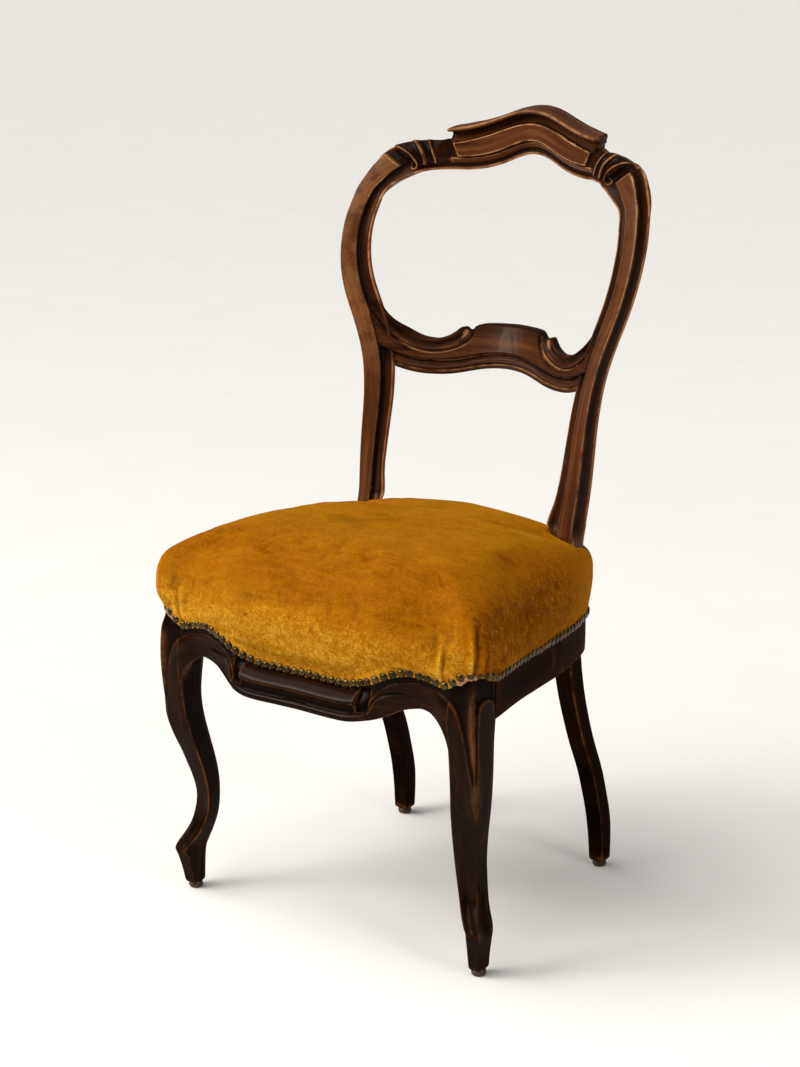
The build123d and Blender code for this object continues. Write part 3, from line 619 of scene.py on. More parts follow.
def post_mesh():
    zs = np.concatenate([[8, 8.6, 9.8, 12], np.arange(16, 420, 6.0), np.arange(420, 448, 2.0), np.arange(448, 797, 3.0), [797.0]])
    m = len(STILE_D)
    loop = np.vstack([STILE_D, STILE_D[:1]])
    arc = np.concatenate([[0], np.cumsum(np.hypot(*np.diff(loop, axis=0).T))])[:-1]
    arc = arc / (arc[-1] + np.hypot(*(STILE_D[0] - STILE_D[-1])))
    # Front, outer side, rear and inner side of the leg keep to the same vertex runs as the stile.
    keys_s = [0.0, arc[20 * 2], arc[26 * 2], arc[42 * 2], arc[47 * 2], arc[51 * 2], 1.0]
    rings, grain, shade, rub, quiet = [], [], [], [], []
    past = np.arange(m) > 2 * 43
    for z in zs:
        b = float(ss(419, 447, z))
        w, d = float(leg_w(z)), float(leg_d(z))
        inset = 1.6 * (1 - ss(8, 10.5, z))
        r = 2.2
        pts, s = rounded_rect(w - 2 * inset, d - 2 * inset, r, m)
        tot = s[-1]
        front0 = 0.3 * d / tot
        keys_r = [0.0, front0 + 0.2 * w / tot, front0 + 0.8 * w / tot, front0 + (w + 0.7 * d) / tot,
                  front0 + (w + 0.98 * d) / tot, front0 + (2 * w + 0.95 * d) / tot, 1.0]
        t = np.interp(arc, keys_s, keys_r) * tot
        lx = np.interp(t, s, pts[:, 0])
        ly = np.interp(t, s, pts[:, 1])
        leg = np.stack([leg_x(z) + lx, leg_y(z) - d / 2 + inset + ly, np.full(m, z)], -1)
        zz = max(z, 451.0)
        nx, nz = band_dir(zz)
        u = STILE_D[:, 0].copy()
        u = np.where(u < -9, -9 + (u + 9) * np.interp(z, [440, 452, 466, 480], [1.42, 1.26, 1.08, 1.0]), u)
        px = band_x(zz) + u * nx
        pz = z + u * nz
        st = np.stack([px, back_y(px, pz) + STILE_D[:, 1], pz], -1)
        rings.append(leg * (1 - b) + st * b)
        g = np.stack([np.full(m, z), STILE_D[:, 0] * b + lx * (1 - b), STILE_D[:, 1] * b + ly * (1 - b)], -1)
        grain.append(g + np.array([0, 300, 0]))
        shade.append(dark_u(STILE_D) * b + (1 - b) * 0.1)
        # Painted shade in the inner cove where the middle rail meets the stile; the band is darker towards the bottom.
        met = (STILE_D[:, 0] < -11) * float(ss(592, 604, z) * (1 - ss(660, 674, z)))
        shade[-1] = shade[-1] + (0.14 * float(ss(640, 560, z)) * (np.abs(STILE_D[:, 0]) < 8.3) * ~past + 0.3 * met) * b
        rub.append(np.where(past, 0.0, rub_u(STILE_D[:, 0], float(ss(560, 660, z)))) * b * (1 - met))
        quiet.append(np.maximum(np.where(past, 1.0, 0.0), met) * b + 0.5 * (1 - b))
    return np.array(rings), np.array(grain), np.array(shade), np.array(rub), np.array(quiet)


P, G, D, W, Q = post_mesh()
for side, mir in (("right", False), ("left", True)):
    bld = Builder()
    # Painted light and shade: the right post's band and cove are darkened, the left post's band is lightened.
    band = np.outer(ss(560, 640, P[:, 0, 2]), (np.abs(STILE_D[:, 0]) < 8.0) & (STILE_D[:, 1] < 3))
    cove = np.outer(ss(560, 680, P[:, 0, 2]), (STILE_D[:, 0] < -9.2) & (STILE_D[:, 0] > -19.5) & (STILE_D[:, 1] < 12))
    bld.grid(P, G, close=True, cap0=True, cap1=True, dark=np.clip(D + (0.0 if mir else 1.0) * (0.22 * band + 0.28 * cove), 0, 0.98), rub=W + (0.13 if mir else 0.0) * band, quiet=Q)
    o = bld.make("post_" + side, WOOD_BACK, ["rear_post_" + side], mirror=mir)
    o.data.materials.append(WOOD_BASE)
    low = np.array([p.center.z < 0.40 for p in o.data.polygons])
    o.data.polygons.foreach_set("material_index", low.astype(np.int32))

# ------------------------------------------------------------------ crest rail
CREST_T = 27.0
_n = [float(v) for v in band_dir(797.0)]
_bx = float(band_x(797.0))
C_OUT = [(_bx + 15.3 * _n[0], 797 + 15.3 * _n[1]), (202.8, 808.8), (197.8, 820.2), (190.2, 834.2), (180.6, 846.8),
         (168.5, 854.6), (155.5, 859.3), (140.5, 862.2), (125.5, 863.4), (110.0, 864.2), (97, 870), (80, 877.5), (60, 882.8),
         (43, 888.8), (28, 894.4), (14, 898), (0, 899.2)]
C_IN = [(_bx - 22.6 * _n[0], 797 - 22.6 * _n[1]), (165.6, 799.9), (161.3, 806.3), (154.5, 812.2), (147.5, 816.4),
        (140.0, 820.4), (132.0, 824.2), (123.5, 827.0), (114.0, 828.4), (103.0, 828.9), (92.0, 828.8), (76, 829.2), (58, 832),
        (41, 837.3), (27, 843.3), (13.5, 848.4), (0, 850.3)]
cap_z = spline([-103, -80, -60, -43, -28, -14, 0, 14, 28, 43, 60, 80, 103],
               [874.5, 877.5, 882.8, 888.8, 894.4, 898.0, 899.2, 898.0, 894.4, 888.8, 882.8, 877.5, 874.5])
_tt = [(15, 885.2), (30, 881), (45, 875.4), (60, 870), (75, 865.6), (90, 862), (97, 861), (104, 860.6)]
tab_top = spline([-a for a, _ in _tt[::-1]] + [0] + [a for a, _ in _tt], [b for _, b in _tt[::-1]] + [886.8] + [b for _, b in _tt])
LOW = pchip([0, 0.5, 1.2, 2.6, 3.4, 4.4, 5.2, 6.4, 7.6, 8.4, 9.4, 11, 12.6, 13.8, 14.6, 15.2, 15.6, 16.4, 16.9, 17.6],
            [11, 9.6, 8.8, 8.7, 9.3, 10.4, 10.9, 10.8, 10.0, 8.7, 7.2, 5.7, 4.8, 4.35, 4.4, 5.2, 5.3, 2.0, 0.4, 0])
RINGS = [
    (smooth_line([(139.0, 836.0), (141.6, 833.4), (139.8, 830.2), (135.8, 829.6), (132.4, 832.6), (133.2, 837.6),
                  (137.4, 843.6), (143.5, 848.8), (152.5, 853.2), (161, 855.2), (170.5, 852.2), (181.5, 844.8), (190.5, 834)], 1.5), 2.2, 2.4),
    (smooth_line([(122.4, 834.0), (123.2, 837.4), (125.0, 844), (128.0, 850.2), (132.8, 856), (138.6, 860.6), (144, 863.5)], 1.5), 3.1, 2.7),
    (smooth_line([(110.4, 833.0), (111.2, 836.4), (113.4, 844), (116.4, 851), (120.4, 857.6), (125, 863), (128, 866.5)], 1.5), 2.4, 2.1),
]


def crest_mesh():
    per = 22
    kk = np.linspace(0, 16, 16 * per + 1)
    idx = np.arange(33.0)
    fo = C_OUT + [(-a, b) for a, b in C_OUT[:-1][::-1]]
    fi = C_IN + [(-a, b) for a, b in C_IN[:-1][::-1]]
    ox, oz = spline(idx, [p[0] for p in fo])(kk), spline(idx, [p[1] for p in fo])(kk)
    ix, iz = spline(idx, [p[0] for p in fi])(kk), spline(idx, [p[1] for p in fi])(kk)
    ox, ix = np.maximum(ox, 0), np.maximum(ix, 0)
    under = ox < 102.2
    oz = np.where(under, cap_z(ox) + 0.6, np.minimum(oz, 865.2))
    m1 = 96
    tau = np.linspace(0, 1, m1)[None, :]
    x = ix[:, None] + (ox - ix)[:, None] * tau
    z = iz[:, None] + (oz - iz)[:, None] * tau
    width = np.hypot(ox - ix, oz - iz)[:, None]
    t = tau * width
    tout = width - t
    # Stile moulding, as it comes up from the joint.
    u = np.where(tau < 0.56, t - 22.6, 15.3 - tout)
    q = ((x - 154.6) * -10.0 + (z - 834.2) * 14.5) / 17.614
    u = u - 3.2 * ss(-26, 0, q) * ss(0, -4, u) * ss(-18, -12, u)
    va = stile_v(u)
    # Tablet and its mouldings.
    zt = tab_top(np.abs(x))
    wtop = z - zt
    gap = np.maximum(cap_z(x) - zt, 6.0)
    s = np.clip((wtop - 1.2) / (gap - 1.2), 0, 1)
    up = np.interp(wtop, [-0.8, -0.2, 0.2, 0.7, 1.2], [0, 0.3, 2.2, 4.0, 4.6]) + 6.2 * np.sin(s * math.pi / 2)
    low = LOW(t)
    vc = np.where(wtop > -0.8, np.maximum(up, np.where(t < 17.6, low, 0)), np.where(t < 17.6, low, 0.0))
    # Plain rounded shoulder between the rings.
    wac = ss(158, 112, x)
    lipmix = va * (1 - wac) + low * wac
    sr = np.clip((t / width - 0.53) / 0.5, -1, 1)
    full = 9.5 - 12.0 * np.sqrt(1 - sr ** 2)
    thin = 5.4 + 4.6 * (1 - ss(4.5, 13, t)) + 8.5 * (1 - ss(0, 10.5, tout)) ** 1.5
    body = full * ss(97, 113, x) + thin * (1 - ss(97, 113, x))
    vb = np.where(t < 9, lipmix * (1 - ss(4.2, 9, t)) + body * ss(4.2, 9, t), body)
    # Square-cut end of the band, and the cove that goes round it.
    wq = 1 - ss(6.0, 15.0, q)
    w1 = np.clip(0.5 + u / 21.2, 0, 1)
    cove = np.where(np.abs(u) < 10.6, stile_v(-10.6) * (1 - w1) + stile_v(10.6) * w1, va)
    vb = cove * wq + vb * (1 - wq)
    hollow = 3.0 * wq * (np.abs(u) < 10.6)
    ridge = np.zeros_like(x)
    rub = np.zeros_like(x)
    for (line, w, h), gw, ga, ta in zip(RINGS, (0.6, 1.2, 0.6), (0.9, 0.6, 0.85), (2.0, 6.5, 6.5)):
        d = pdist(x, z, line)
        rub = np.maximum(rub, ga * np.exp(-(d / gw) ** 2) * ss(ta, ta + 3.0, t))
        ridge = np.maximum(ridge, h * np.clip(1 - d / w, 0, 1) ** 0.8 * ss(ta - 1.0, ta + 2.5, t))
    trough = np.zeros_like(x)
    mids = [smooth_line([(127.8, 836), (130.6, 843.5), (134.6, 849.6), (140.6, 854.6), (147.6, 857.5)], 2.0),
            smooth_line([(116.8, 835), (119.2, 843.5), (122.2, 850.5), (126.6, 857), (131.6, 862)], 2.0)]
    for line in mids:
        trough = np.maximum(trough, 2.4 * np.exp(-(pdist(x, z, line) / 3.0) ** 2))
    vb = vb + trough * (1 - ss(0, 1, ridge)) * (1 - wq) - ridge
    ma = ss(0.35, -0.35, q)
    v = va * ma + vb * (1 - ma)
    # Slanted ends of the tablet.
    xe = 90.0 + (z - 845.0) * (7.0 / 16.0)
    inside = ss(-0.45, 0.45, xe - x)
    keep = ss(112, 100, x) * (1 - ss(13.8, 15.4, t))
    neck = np.maximum(np.minimum(body, 5.6), np.where(wtop > 0.8, up, 0))
    vn = np.where(x < 103.5, np.where(t < 14.6, low, neck), vb)
    vn = np.where(x > 103.5, vb * (1 - keep) + low * keep, vn)
    v = np.where(x < 150, vc * inside + vn * (1 - inside), v)
    # Where the old dark polish stays.
    # Painted shade in the coves, under the cap and in the hollows and troughs; the shoulders are darkened all over.
    da = DARK_U(u)
    dlow = np.interp(t, [0, 2.8, 3.6, 4.6, 7.4, 8.6, 10, 13.6, 14.6, 15.4, 16.4, 17.0, 17.6], [0.1, 0.0, 0.4, 0.95, 0.9, 0.35, 0.0, 0.05, 0.6, 0.97, 0.8, 0.2, 0])
    dup = np.interp(wtop, [-0.8, -0.2, 0.3, 1.0, 2.4], [0, 0.2, 0.95, 0.95, 0.45]) + 0.45 * ss(0.45, 1.0, s) * (wtop > 1)
    dc = np.where(wtop > -0.8, dup, np.where(t < 17.6, dlow, 0.2))
    db = 0.90 + 0.07 * ss(113, 121, x) + 0.3 * ss(0.5, 3.0, hollow) + 0.3 * ss(0.8, 2.2, trough) - 0.2 * ss(0.8, 2.2, ridge)
    db = np.clip(db, 0, 0.99)
    db = np.where(t < 4.5, np.minimum(db, DARK_U(t - 22.6) * (1 - wac) + dlow * wac), db)
    mi = wq * ss(126, 150, x) * (np.abs(u) > 9.6)
    db = db * (1 - mi) + da * mi
    dn = np.where(t < 14.6, np.where(x < 112, np.maximum(dlow, 0.85 * ss(97, 104, x) * ss(4.5, 6.5, t)), db), np.where(x < 104, 0.7 + 0.22 * ss(95, 101, x), db))
    dk = da * ma + db * (1 - ma)
    dk = np.where(x < 150, dc * inside + dn * (1 - inside), dk)
    # Ridges show in the outline, too.
    out_r = ridge * ss(7, 0, tout) * 0.55
    dirx, dirz = (ox - ix)[:, None] / width, (oz - iz)[:, None] / width
    x = x + dirx * out_r
    z = z + dirz * out_r
    # The lip stands further forward under the shoulders.
    v = v - 5.0 * ss(94, 114, x) * ss(170, 150, x) * (1 - ss(5, 12, t))
    v = v + 0.18 * wob(np.stack([x, v * 0, z], -1), 46.0, 3)
    y = back_y(x, z) + v
    front = np.stack([x, y, z], -1)
    # Outer edge, back and inner edge.
    rows = []
    vo, vi = v[:, -1], v[:, 0]
    wj = ss(0.0, 2.6, kk)
    for (tt, vv), (u0, v0) in zip(((1.0, vo + (CREST_T - vo) * 0.30), (0.998, vo + (CREST_T - vo) * 0.62), (0.985, CREST_T - 1.6),
                                   (0.955, CREST_T - 0.35), (0.90, CREST_T + 0.0), (0.75, CREST_T + 0.3), (0.55, CREST_T + 0.4),
                                   (0.36, CREST_T + 0.2), (0.25, CREST_T - 0.1), (0.20, CREST_T - 1.1), (0.155, CREST_T - 3.2),
                                   (0.10, 20.0), (0.055, 16.5), (0.022, 13.4)),
                                  ((15.2, 19.3), (14.7, 21.0), (13.8, 22.8), (12.6, 24.1), (10.8, 24.6), (5.0, 24.85), (-1.0, 24.9),
                                   (-5.5, 24.7), (-8.0, 24.5), (-10.2, 23.6), (-12.2, 21.6), (-14.6, 18.4), (-17.2, 14.6), (-20.2, 10.4))):
        tr = {1.0: 0.992, 0.998: 0.955, 0.985: 0.885, 0.955: 0.80, 0.90: 0.72, 0.75: 0.62}.get(tt, tt)
        tt = tt + (tr - tt) * ss(100, 122, ox) * ss(202, 170, ox)
        tt = tt * wj + (u0 + 22.6) / 37.9 * (1 - wj)
        vv = vv * wj + v0 * (1 - wj)
        px = ix + (ox - ix) * tt
        pz = iz + (oz - iz) * tt
        rows.append(np.stack([px, back_y(px, pz) + vv, pz], -1))
    rear = np.stack(rows, 1)
    p = np.concatenate([front, rear], 1)
    along = np.concatenate([[0], np.cumsum(np.hypot(np.diff((ox + ix) / 2), np.diff((oz + iz) / 2)))])
    vfull = np.concatenate([v, np.repeat(np.array([[20.0]]), len(kk), 0).repeat(14, 1)], 1)
    tfull = np.concatenate([t, np.linspace(1, 0, 14)[None, :] * width], 1)
    g = np.stack([np.repeat(along[:, None], p.shape[1], 1), tfull, vfull], -1)
    lip_line = 0.8 * np.exp(-((t - 1.3) / 0.9) ** 2)
    end_line = 0.75 * np.exp(-((q + 0.75) / 0.35) ** 2) * (np.abs(u) < 8.9) * (x > 140)
    mu = np.where(u > 10.6, np.maximum(ma, wq), ma)
    rub = np.where(x < 98, 0, np.where(x < 103, 0, rub * (1 - ma)) + rub_u(u) * mu * ss(150, 156, x) + np.maximum(lip_line, end_line))
    rub = np.clip(rub, 0, 1)
    rubf = np.concatenate([rub, np.zeros((len(kk), 14))], 1)
    dkf = np.concatenate([dk, np.full((len(kk), 14), 0.25)], 1)
    # Painted light and shade: the right half's band and inner cove are darkened, the left half's band is lightened.
    band = np.concatenate([ma * ss(8.4, 7.4, np.abs(u)) * ss(150, 156, x), np.zeros((len(kk), 14))], 1)
    inner = np.concatenate([ss(-20.5, -18.5, u) * ss(-8.6, -9.8, u) * ss(130, 150, x) * (tau < 0.5), np.zeros((len(kk), 14))], 1)
    flip = np.array([-1.0, 1.0, 1.0])
    gl = g[::-1][1:].copy()
    gl[..., 0] = 2 * along[-1] - gl[..., 0]
    return np.concatenate([p, (p[::-1][1:]) * flip]), np.concatenate([g, gl]), np.concatenate([np.clip(dkf + 0.22 * band + 0.28 * inner, 0, 0.98), dkf[::-1][1:]]), np.concatenate([rubf, (rubf + 0.13 * band)[::-1][1:]])


bld = Builder()
P, G, D, W = crest_mesh()
Q = ss(97, 101, np.abs(P[..., 0])) * (1 - ss(160, 170, np.abs(P[..., 0])))
past = ((np.abs(P[..., 0]) - 154.6) * -10.0 + (P[..., 2] - 834.2) * 14.5) / 17.614
Q = np.maximum(Q, ss(-4, -1.5, past) * ss(97, 101, np.abs(P[..., 0])))
Q[:, -14:] = 1.0
bld.grid(P, G, close=True, cap0=True, cap1=True, dark=D, rub=W, quiet=Q)
# Cap along the top of the tablet.
cx = np.concatenate([[-103.4, -103.2, -102.4], np.linspace(-101.5, 101.5, 170), [102.4, 103.2, 103.4]])
CAP = [(9.0, -1.8), (4.0, -1.1), (0.0, -0.7), (-1.6, -0.5), (-2.6, -0.1), (-3.0, 0.6), (-3.1, 1.6), (-2.9, 2.6), (-2.3, 3.4), (-1.2, 3.9),
       (1.2, 4.5), (5.0, 5.3), (10.0, 6.3), (16.0, 7.3), (21.4, 7.9), (22.6, 7.7), (23.3, 7.1), (24.0, 7.4), (25.2, 8.0), (27.0, 8.1), (28.8, 7.4),
       (29.8, 6.0), (30.0, 4.2), (29.6, 2.4), (28.8, 1.0), (27.8, -1.5), (27.0, -4.5), (18.0, -5.0), (11.0, -4.6)]
CAP = densify(np.array(CAP), 3)
secs, gr, cdark, crub, cquiet = [], [], [], [], []
for x in cx:
    zc = float(cap_z(x))
    f = float(back_y(x, zc))
    inset = 1.3 * (1 - math.sqrt(max(0.0, 1 - ((abs(x) - 102.1) / 1.3) ** 2))) if abs(x) > 102.1 else 0.0
    inset = min(inset, 1.3)
    h = 1.0 - 0.18 * float(ss(80, 103, abs(x)))
    row = []
    for v, dz in CAP:
        cv, cz = 13.0, 2.5
        dz = dz * h if dz > 0 else dz
        k = 1 - inset / 13.0
        row.append((x, f + cv + (v - cv) * k, zc + cz + (dz - cz) * k))
    secs.append(row)
    gr.append([(x, v, dz + 60) for v, dz in CAP])
    # Painted shade in the groove on the cap's top and under its front edge.
    cdark.append([0.97 if abs(v - 23.3) < 0.9 and dz > 4 else 0.85 if dz < -0.6 and v < 20 else 0.2 if v > 6 and dz > 4 else 0.35 if v > 24 else 0.18 if dz < 1.2 else 0.05 for v, dz in CAP])
    cquiet.append([1.0 if v > 24.4 or dz < 0 else 0.35 for v, dz in CAP])
    crub.append([0.5 if v < -1.2 and dz > 1.8 else 0.3 if v < 1.2 and dz > 3.4 else 0.45 if abs(v - 21.4) < 0.8 and dz > 5 else 0.0 for v, dz in CAP])
bld.grid(np.array(secs), np.array(gr, float), close=True, cap0=True, cap1=True, dark=np.array(cdark), rub=np.array(crub), quiet=np.array(cquiet))
bld.make("crest", WOOD_BACK, ["crest_rail"])

# Dowels inside the two joints.
bld = Builder()
for sg in (1, -1):
    for du in (-8.0, 2.0):
        rows = []
        for z, r in ((779.0, 1.9), (780.2, 3.0), (797.0, 3.0), (808.0, 3.0), (809.0, 1.9)):
            xc = float(np.interp(z, [779, 797, 809], [194.2, 190.2, 186.4])) + du
            yc = float(back_y(xc, z)) + 13.0
            a = np.arange(14) / 14 * 2 * math.pi
            rows.append(np.stack([sg * (xc + r * np.cos(a)), yc + r * np.sin(a), np.full(14, z)], -1))
        bld.grid(np.array(rows), None, close=True, cap0=True, cap1=True)
bld.make("joint_dowels", BEECH, ["crest_dowels"], wear=False)

# ------------------------------------------------------------------ middle rail
MID_T = 18.0
mid_top = pchip([0, 28, 42, 46, 50.5, 55, 58.5, 61.5, 63.5, 66.5, 70, 80, 92, 104, 114, 127, 137, 148, 156],
                [651, 650, 648.6, 646.5, 642.6, 640.8, 641.4, 643.6, 644.4, 642.8, 639.4, 632.9, 629.8, 631.2, 634.8, 643, 651, 663, 675])
mid_bot = spline([0, 17, 42, 65, 87, 110, 130, 148], [599.5, 598.6, 594.4, 589.4, 587.8, 589.8, 595.5, 603])
ARRIS = smooth_line([(49.5, 655), (47.0, 648), (45.6, 640), (46.5, 633), (51, 625.6), (58.5, 619.6), (70, 614.6), (83, 611.7), (96, 611.2),
                     (107, 613.2), (118, 617.4), (130, 624.6), (141, 633.5), (150, 644), (160, 658)], 2.0)
_lipz = np.array([(66.5, 642.8), (70, 639.4), (80, 632.9), (92, 629.8), (104, 631.2), (114, 634.8), (127, 643), (137, 651), (148, 663), (156, 675)])
LIP = smooth_line(np.vstack([[(60.5, 655), (62.6, 648)], _lipz]), 2.0)
MIDP = pchip([0, 0.03, 0.08, 0.15, 0.19, 0.25, 0.33, 0.41, 0.48, 0.52, 0.58, 0.65, 0.72, 0.79, 0.83, 0.87, 0.90, 0.94, 0.97, 1.0],
             [6.4, 5.0, 4.3, 4.4, 5.4, 7.2, 8.2, 8.0, 6.8, 5.3, 3.8, 3.2, 3.5, 4.8, 6.0, 6.5, 6.0, 2.6, 0.6, 0.0])
MIDL = pchip([0, 0.5, 1.2, 2.4, 3.3, 4.2, 5.0, 5.8, 6.8, 7.8, 9.0, 10.2, 11.4, 12.8, 14.2, 15.6, 16.6, 17.4, 18.2, 18.8, 19.5],
             [8.2, 6.6, 5.8, 5.6, 6.2, 7.5, 7.7, 6.6, 5.3, 4.9, 5.3, 6.2, 6.5, 6.0, 5.7, 6.6, 7.2, 5.4, 1.8, 0.4, 0.0])


def mid_mesh():
    n, m1 = 441, 92
    xi = np.linspace(-1, 1, n)[:, None]
    tau = np.linspace(0, 1, m1)[None, :]
    x = xi * 145.0 + 0 * tau
    for _ in range(4):
        a = np.abs(x)
        z = mid_bot(a) + (mid_top(a) - mid_bot(a)) * tau
        zz = np.clip(z, 560, 700)
        x = xi * (band_x(zz) - 9.2)
    a = np.abs(x)
    zb, ztp = mid_bot(a), mid_top(a)
    z = zb + (ztp - zb) * tau
    b = z - zb
    below = ztp - z
    tl = pdist(a, z, [tuple(p) for p in LIP])
    da = pdist(a, z, [tuple(p) for p in ARRIS])
    # Which side of the flat's upper edge: inside the flat, or on the moulding round the opening.
    az = np.interp(a, ARRIS[15:, 0], ARRIS[15:, 1])
    flat = (a < 46.0) | ((z < az) & (a > 51)) | ((z < 625.6) & (a <= 51)) | ((a <= 51) & (a - 46.0 < np.interp(z, [625.6, 633, 640, 648], [5.0, 0.5, -0.4, 1.0])))
    r = np.clip(tl / np.maximum(tl + da, 1e-6), 0, 1)
    v = np.where(flat, 0.0, MIDP(r))
    v = np.maximum(v, np.where(b < 19.5, MIDL(b), 0.0))
    # Soft top edge of the panel.
    edge = (1 - ss(0, 2.2, below)) ** 1.6 * 2.4
    v = v + np.where(flat, edge, 0.0)
    # Where the rail runs into the stile, the lower mouldings go under the stile's lip.
    ui = (a - band_x(np.clip(z, 560, 700)))
    under = ss(-24.0, -20.5, ui) * (1 - ss(15.5, 19, b))
    v = v * (1 - under) + 9.5 * under
    v = v - 0.25 * ss(-24, -18, ui) * (1 - under)
    v = v + 14.0 * ss(-9.75, -9.2, ui)
    v = v + 0.12 * wob(np.stack([x, 0 * x, z], -1), 40.0, 5)
    # Painted shade in the coves and grooves and where the mouldings run under the stile's lip; the flat panel is
    # darkened evenly.
    dk = np.where(flat, 0.50, np.interp(r, [0, 0.14, 0.2, 0.28, 0.44, 0.52, 0.6, 0.72, 0.8, 0.86, 0.92, 0.97, 1], [0.0, 0.0, 0.5, 0.97, 0.97, 0.75, 0.45, 0.4, 0.7, 0.97, 0.8, 0.2, 0.0]))
    dk = np.maximum(dk, np.interp(b, [0, 2.8, 3.6, 5.2, 6.4, 7.8, 9.2, 11, 13.4, 14.8, 17.0, 18.0, 18.8, 19.5], [0.1, 0.0, 0.6, 0.9, 0.5, 0.35, 0.45, 0.7, 0.62, 0.9, 0.97, 0.7, 0.15, 0.0]))
    dk = np.maximum(dk, 0.9 * under)
    front = np.stack([x, back_y(x, z) + v, z], -1)
    rows = []
    for tt, dv, dz in ((1.0, 9.5, 0), (1.0, 13.5, -0.1), (1.0, 16.4, -0.5), (1.0, 17.6, -1.4), (0.93, MID_T, 0), (0.7, MID_T + 0.2, 0),
                       (0.45, MID_T + 0.2, 0), (0.2, MID_T, 0), (0.07, MID_T, 0), (0.0, 17.5, 1.4), (0.0, 16.2, 0.5), (0.0, 13.0, 0.1)):
        px = x[:, -1] if tt > 0.5 else x[:, 0]
        px = x[:, 0] + (x[:, -1] - x[:, 0]) * tt
        pa = np.abs(px)
        pz = mid_bot(pa) + (mid_top(pa) - mid_bot(pa)) * tt + dz
        # Towards the stile the rear of the wing draws in under the stile's lip.
        lim = np.minimum(6.3 + 0.06 * dv + 0.95 * (1 - tt) * (mid_top(pa) - mid_bot(pa)), dv)
        end = ss(118, 145, pa)
        dv = dv * (1 - end) + lim * end
        rows.append(np.stack([px, back_y(px, pz) + dv, pz], -1))
    p = np.concatenate([front, np.stack(rows, 1)], 1)
    g = np.stack([p[..., 0], p[..., 2], p[..., 1] - back_y(p[..., 0], p[..., 2])], -1)
    return p, g, np.concatenate([dk, np.full((n, 12), 0.3)], 1)


bld = Builder()
P, G, D = mid_mesh()
Q = np.zeros(D.shape) + 0.4
Q = np.maximum(Q, ss(118, 132, np.abs(P[..., 0])))
Q[:, -12:] = 1.0
bld.grid(P, G, close=True, cap0=True, cap1=True, dark=D, quiet=Q)
bld.make("middle_rail", WOOD_BACK, ["mid_rail"])

# ------------------------------------------------------------------ front legs
LEG = [
    (352, (218.5, -223.0), (190.0, -225.0), (190.0, -186.0), (218.5, -184.0)),
    (336, (219.5, -225.5), (188.5, -227.0), (189.0, -186.0), (219.0, -183.0)),
    (318, (220.5, -227.5), (188.0, -229.0), (189.0, -185.0), (219.5, -182.0)),
    (300, (221.0, -228.0), (188.0, -230.0), (189.0, -185.0), (219.5, -182.0)),
    (275, (221.0, -226.6), (189.2, -229.2), (190.0, -187.5), (219.3, -184.0)),
    (250, (220.5, -223.6), (189.3, -227.4), (190.0, -190.5), (218.8, -184.0)),
    (220, (218.0, -219.0), (186.8, -222.2), (188.0, -188.5), (216.5, -182.0)),
    (190, (213.5, -211.0), (182.6, -215.4), (184.0, -183.0), (212.0, -178.5)),
    (165, (208.5, -203.3), (178.9, -208.0), (180.5, -178.5), (207.0, -175.0)),
    (140, (203.7, -195.7), (177.0, -201.8), (178.5, -175.5), (202.2, -170.5)),
    (117, (201.8, -192.0), (177.5, -198.3), (179.0, -174.8), (200.5, -168.3)),
    (100, (203.0, -193.3), (180.0, -198.0), (181.0, -174.8), (202.0, -169.0)),
    (85, (206.0, -196.7), (184.0, -200.2), (185.0, -175.5), (205.0, -171.5)),
    (71, (211.3, -204.0), (190.3, -205.6), (190.0, -176.8), (210.8, -176.0)),
    (60, (217.0, -209.4), (197.4, -211.0), (194.0, -178.5), (215.6, -178.6)),
    (52, (219.8, -211.6), (202.6, -213.8), (196.0, -180.5), (217.8, -181.0)),
    (42, (218.0, -209.2), (200.8, -210.0), (197.0, -181.5), (216.8, -181.8)),
    (26, (215.0, -205.8), (199.8, -206.0), (198.0, -181.8), (214.6, -182.0)),
    (8, (213.2, -202.2), (199.0, -202.2), (198.8, -182.0), (213.2, -182.0)),
]
LEG = LEG[::-1]
_lz = [r[0] for r in LEG]
_lc = [[pchip(_lz, [r[1 + c][k] for r in LEG]) for k in (0, 1)] for c in range(4)]
LEG_SMOOTH = [[spline(_lz, [r[1 + c][k] for r in LEG]) for k in (0, 1)] for c in range(4)]


# Broad roll that runs over the arch of the front rail and down the leg's front: its inner edge and its outer boundary.
ROLL_IN = smooth_line([(94, 286.4), (101, 288), (114, 293), (122, 297), (130, 301), (145, 305), (153, 306), (160, 304.8), (168, 301), (175, 296), (180, 291),
                       (185, 283), (188.2, 273), (189.3, 262), (189.3, 250), (188.5, 235), (186.8, 220), (182.6, 190), (178.9, 165)], 2.0)
ROLL_OUT = smooth_line([(94.5, 300.5), (95.5, 309), (100, 317), (108, 323.5), (119, 330), (132, 335), (148, 336), (162, 334.5), (176, 331), (187, 326),
                        (196, 318.5), (203, 307), (208, 292), (211, 275), (213.5, 255), (216, 238), (217, 220), (213, 190), (208, 165)], 2.0)
_rin = [tuple(v) for v in ROLL_IN]
_rout = [tuple(v) for v in ROLL_OUT]


def roll_height(x, z):
    di, do = pdist(x, z, _rin), pdist(x, z, _rout)
    f = di / np.maximum(di + do, 1e-6)
    amp = np.interp(z, [150, 200, 255, 290, 325], [0.0, 1.3, 2.2, 3.2, 4.2])
    return amp * np.sin(math.pi * np.clip(0.10 + 0.84 * f, 0, 1)) ** 0.8, do


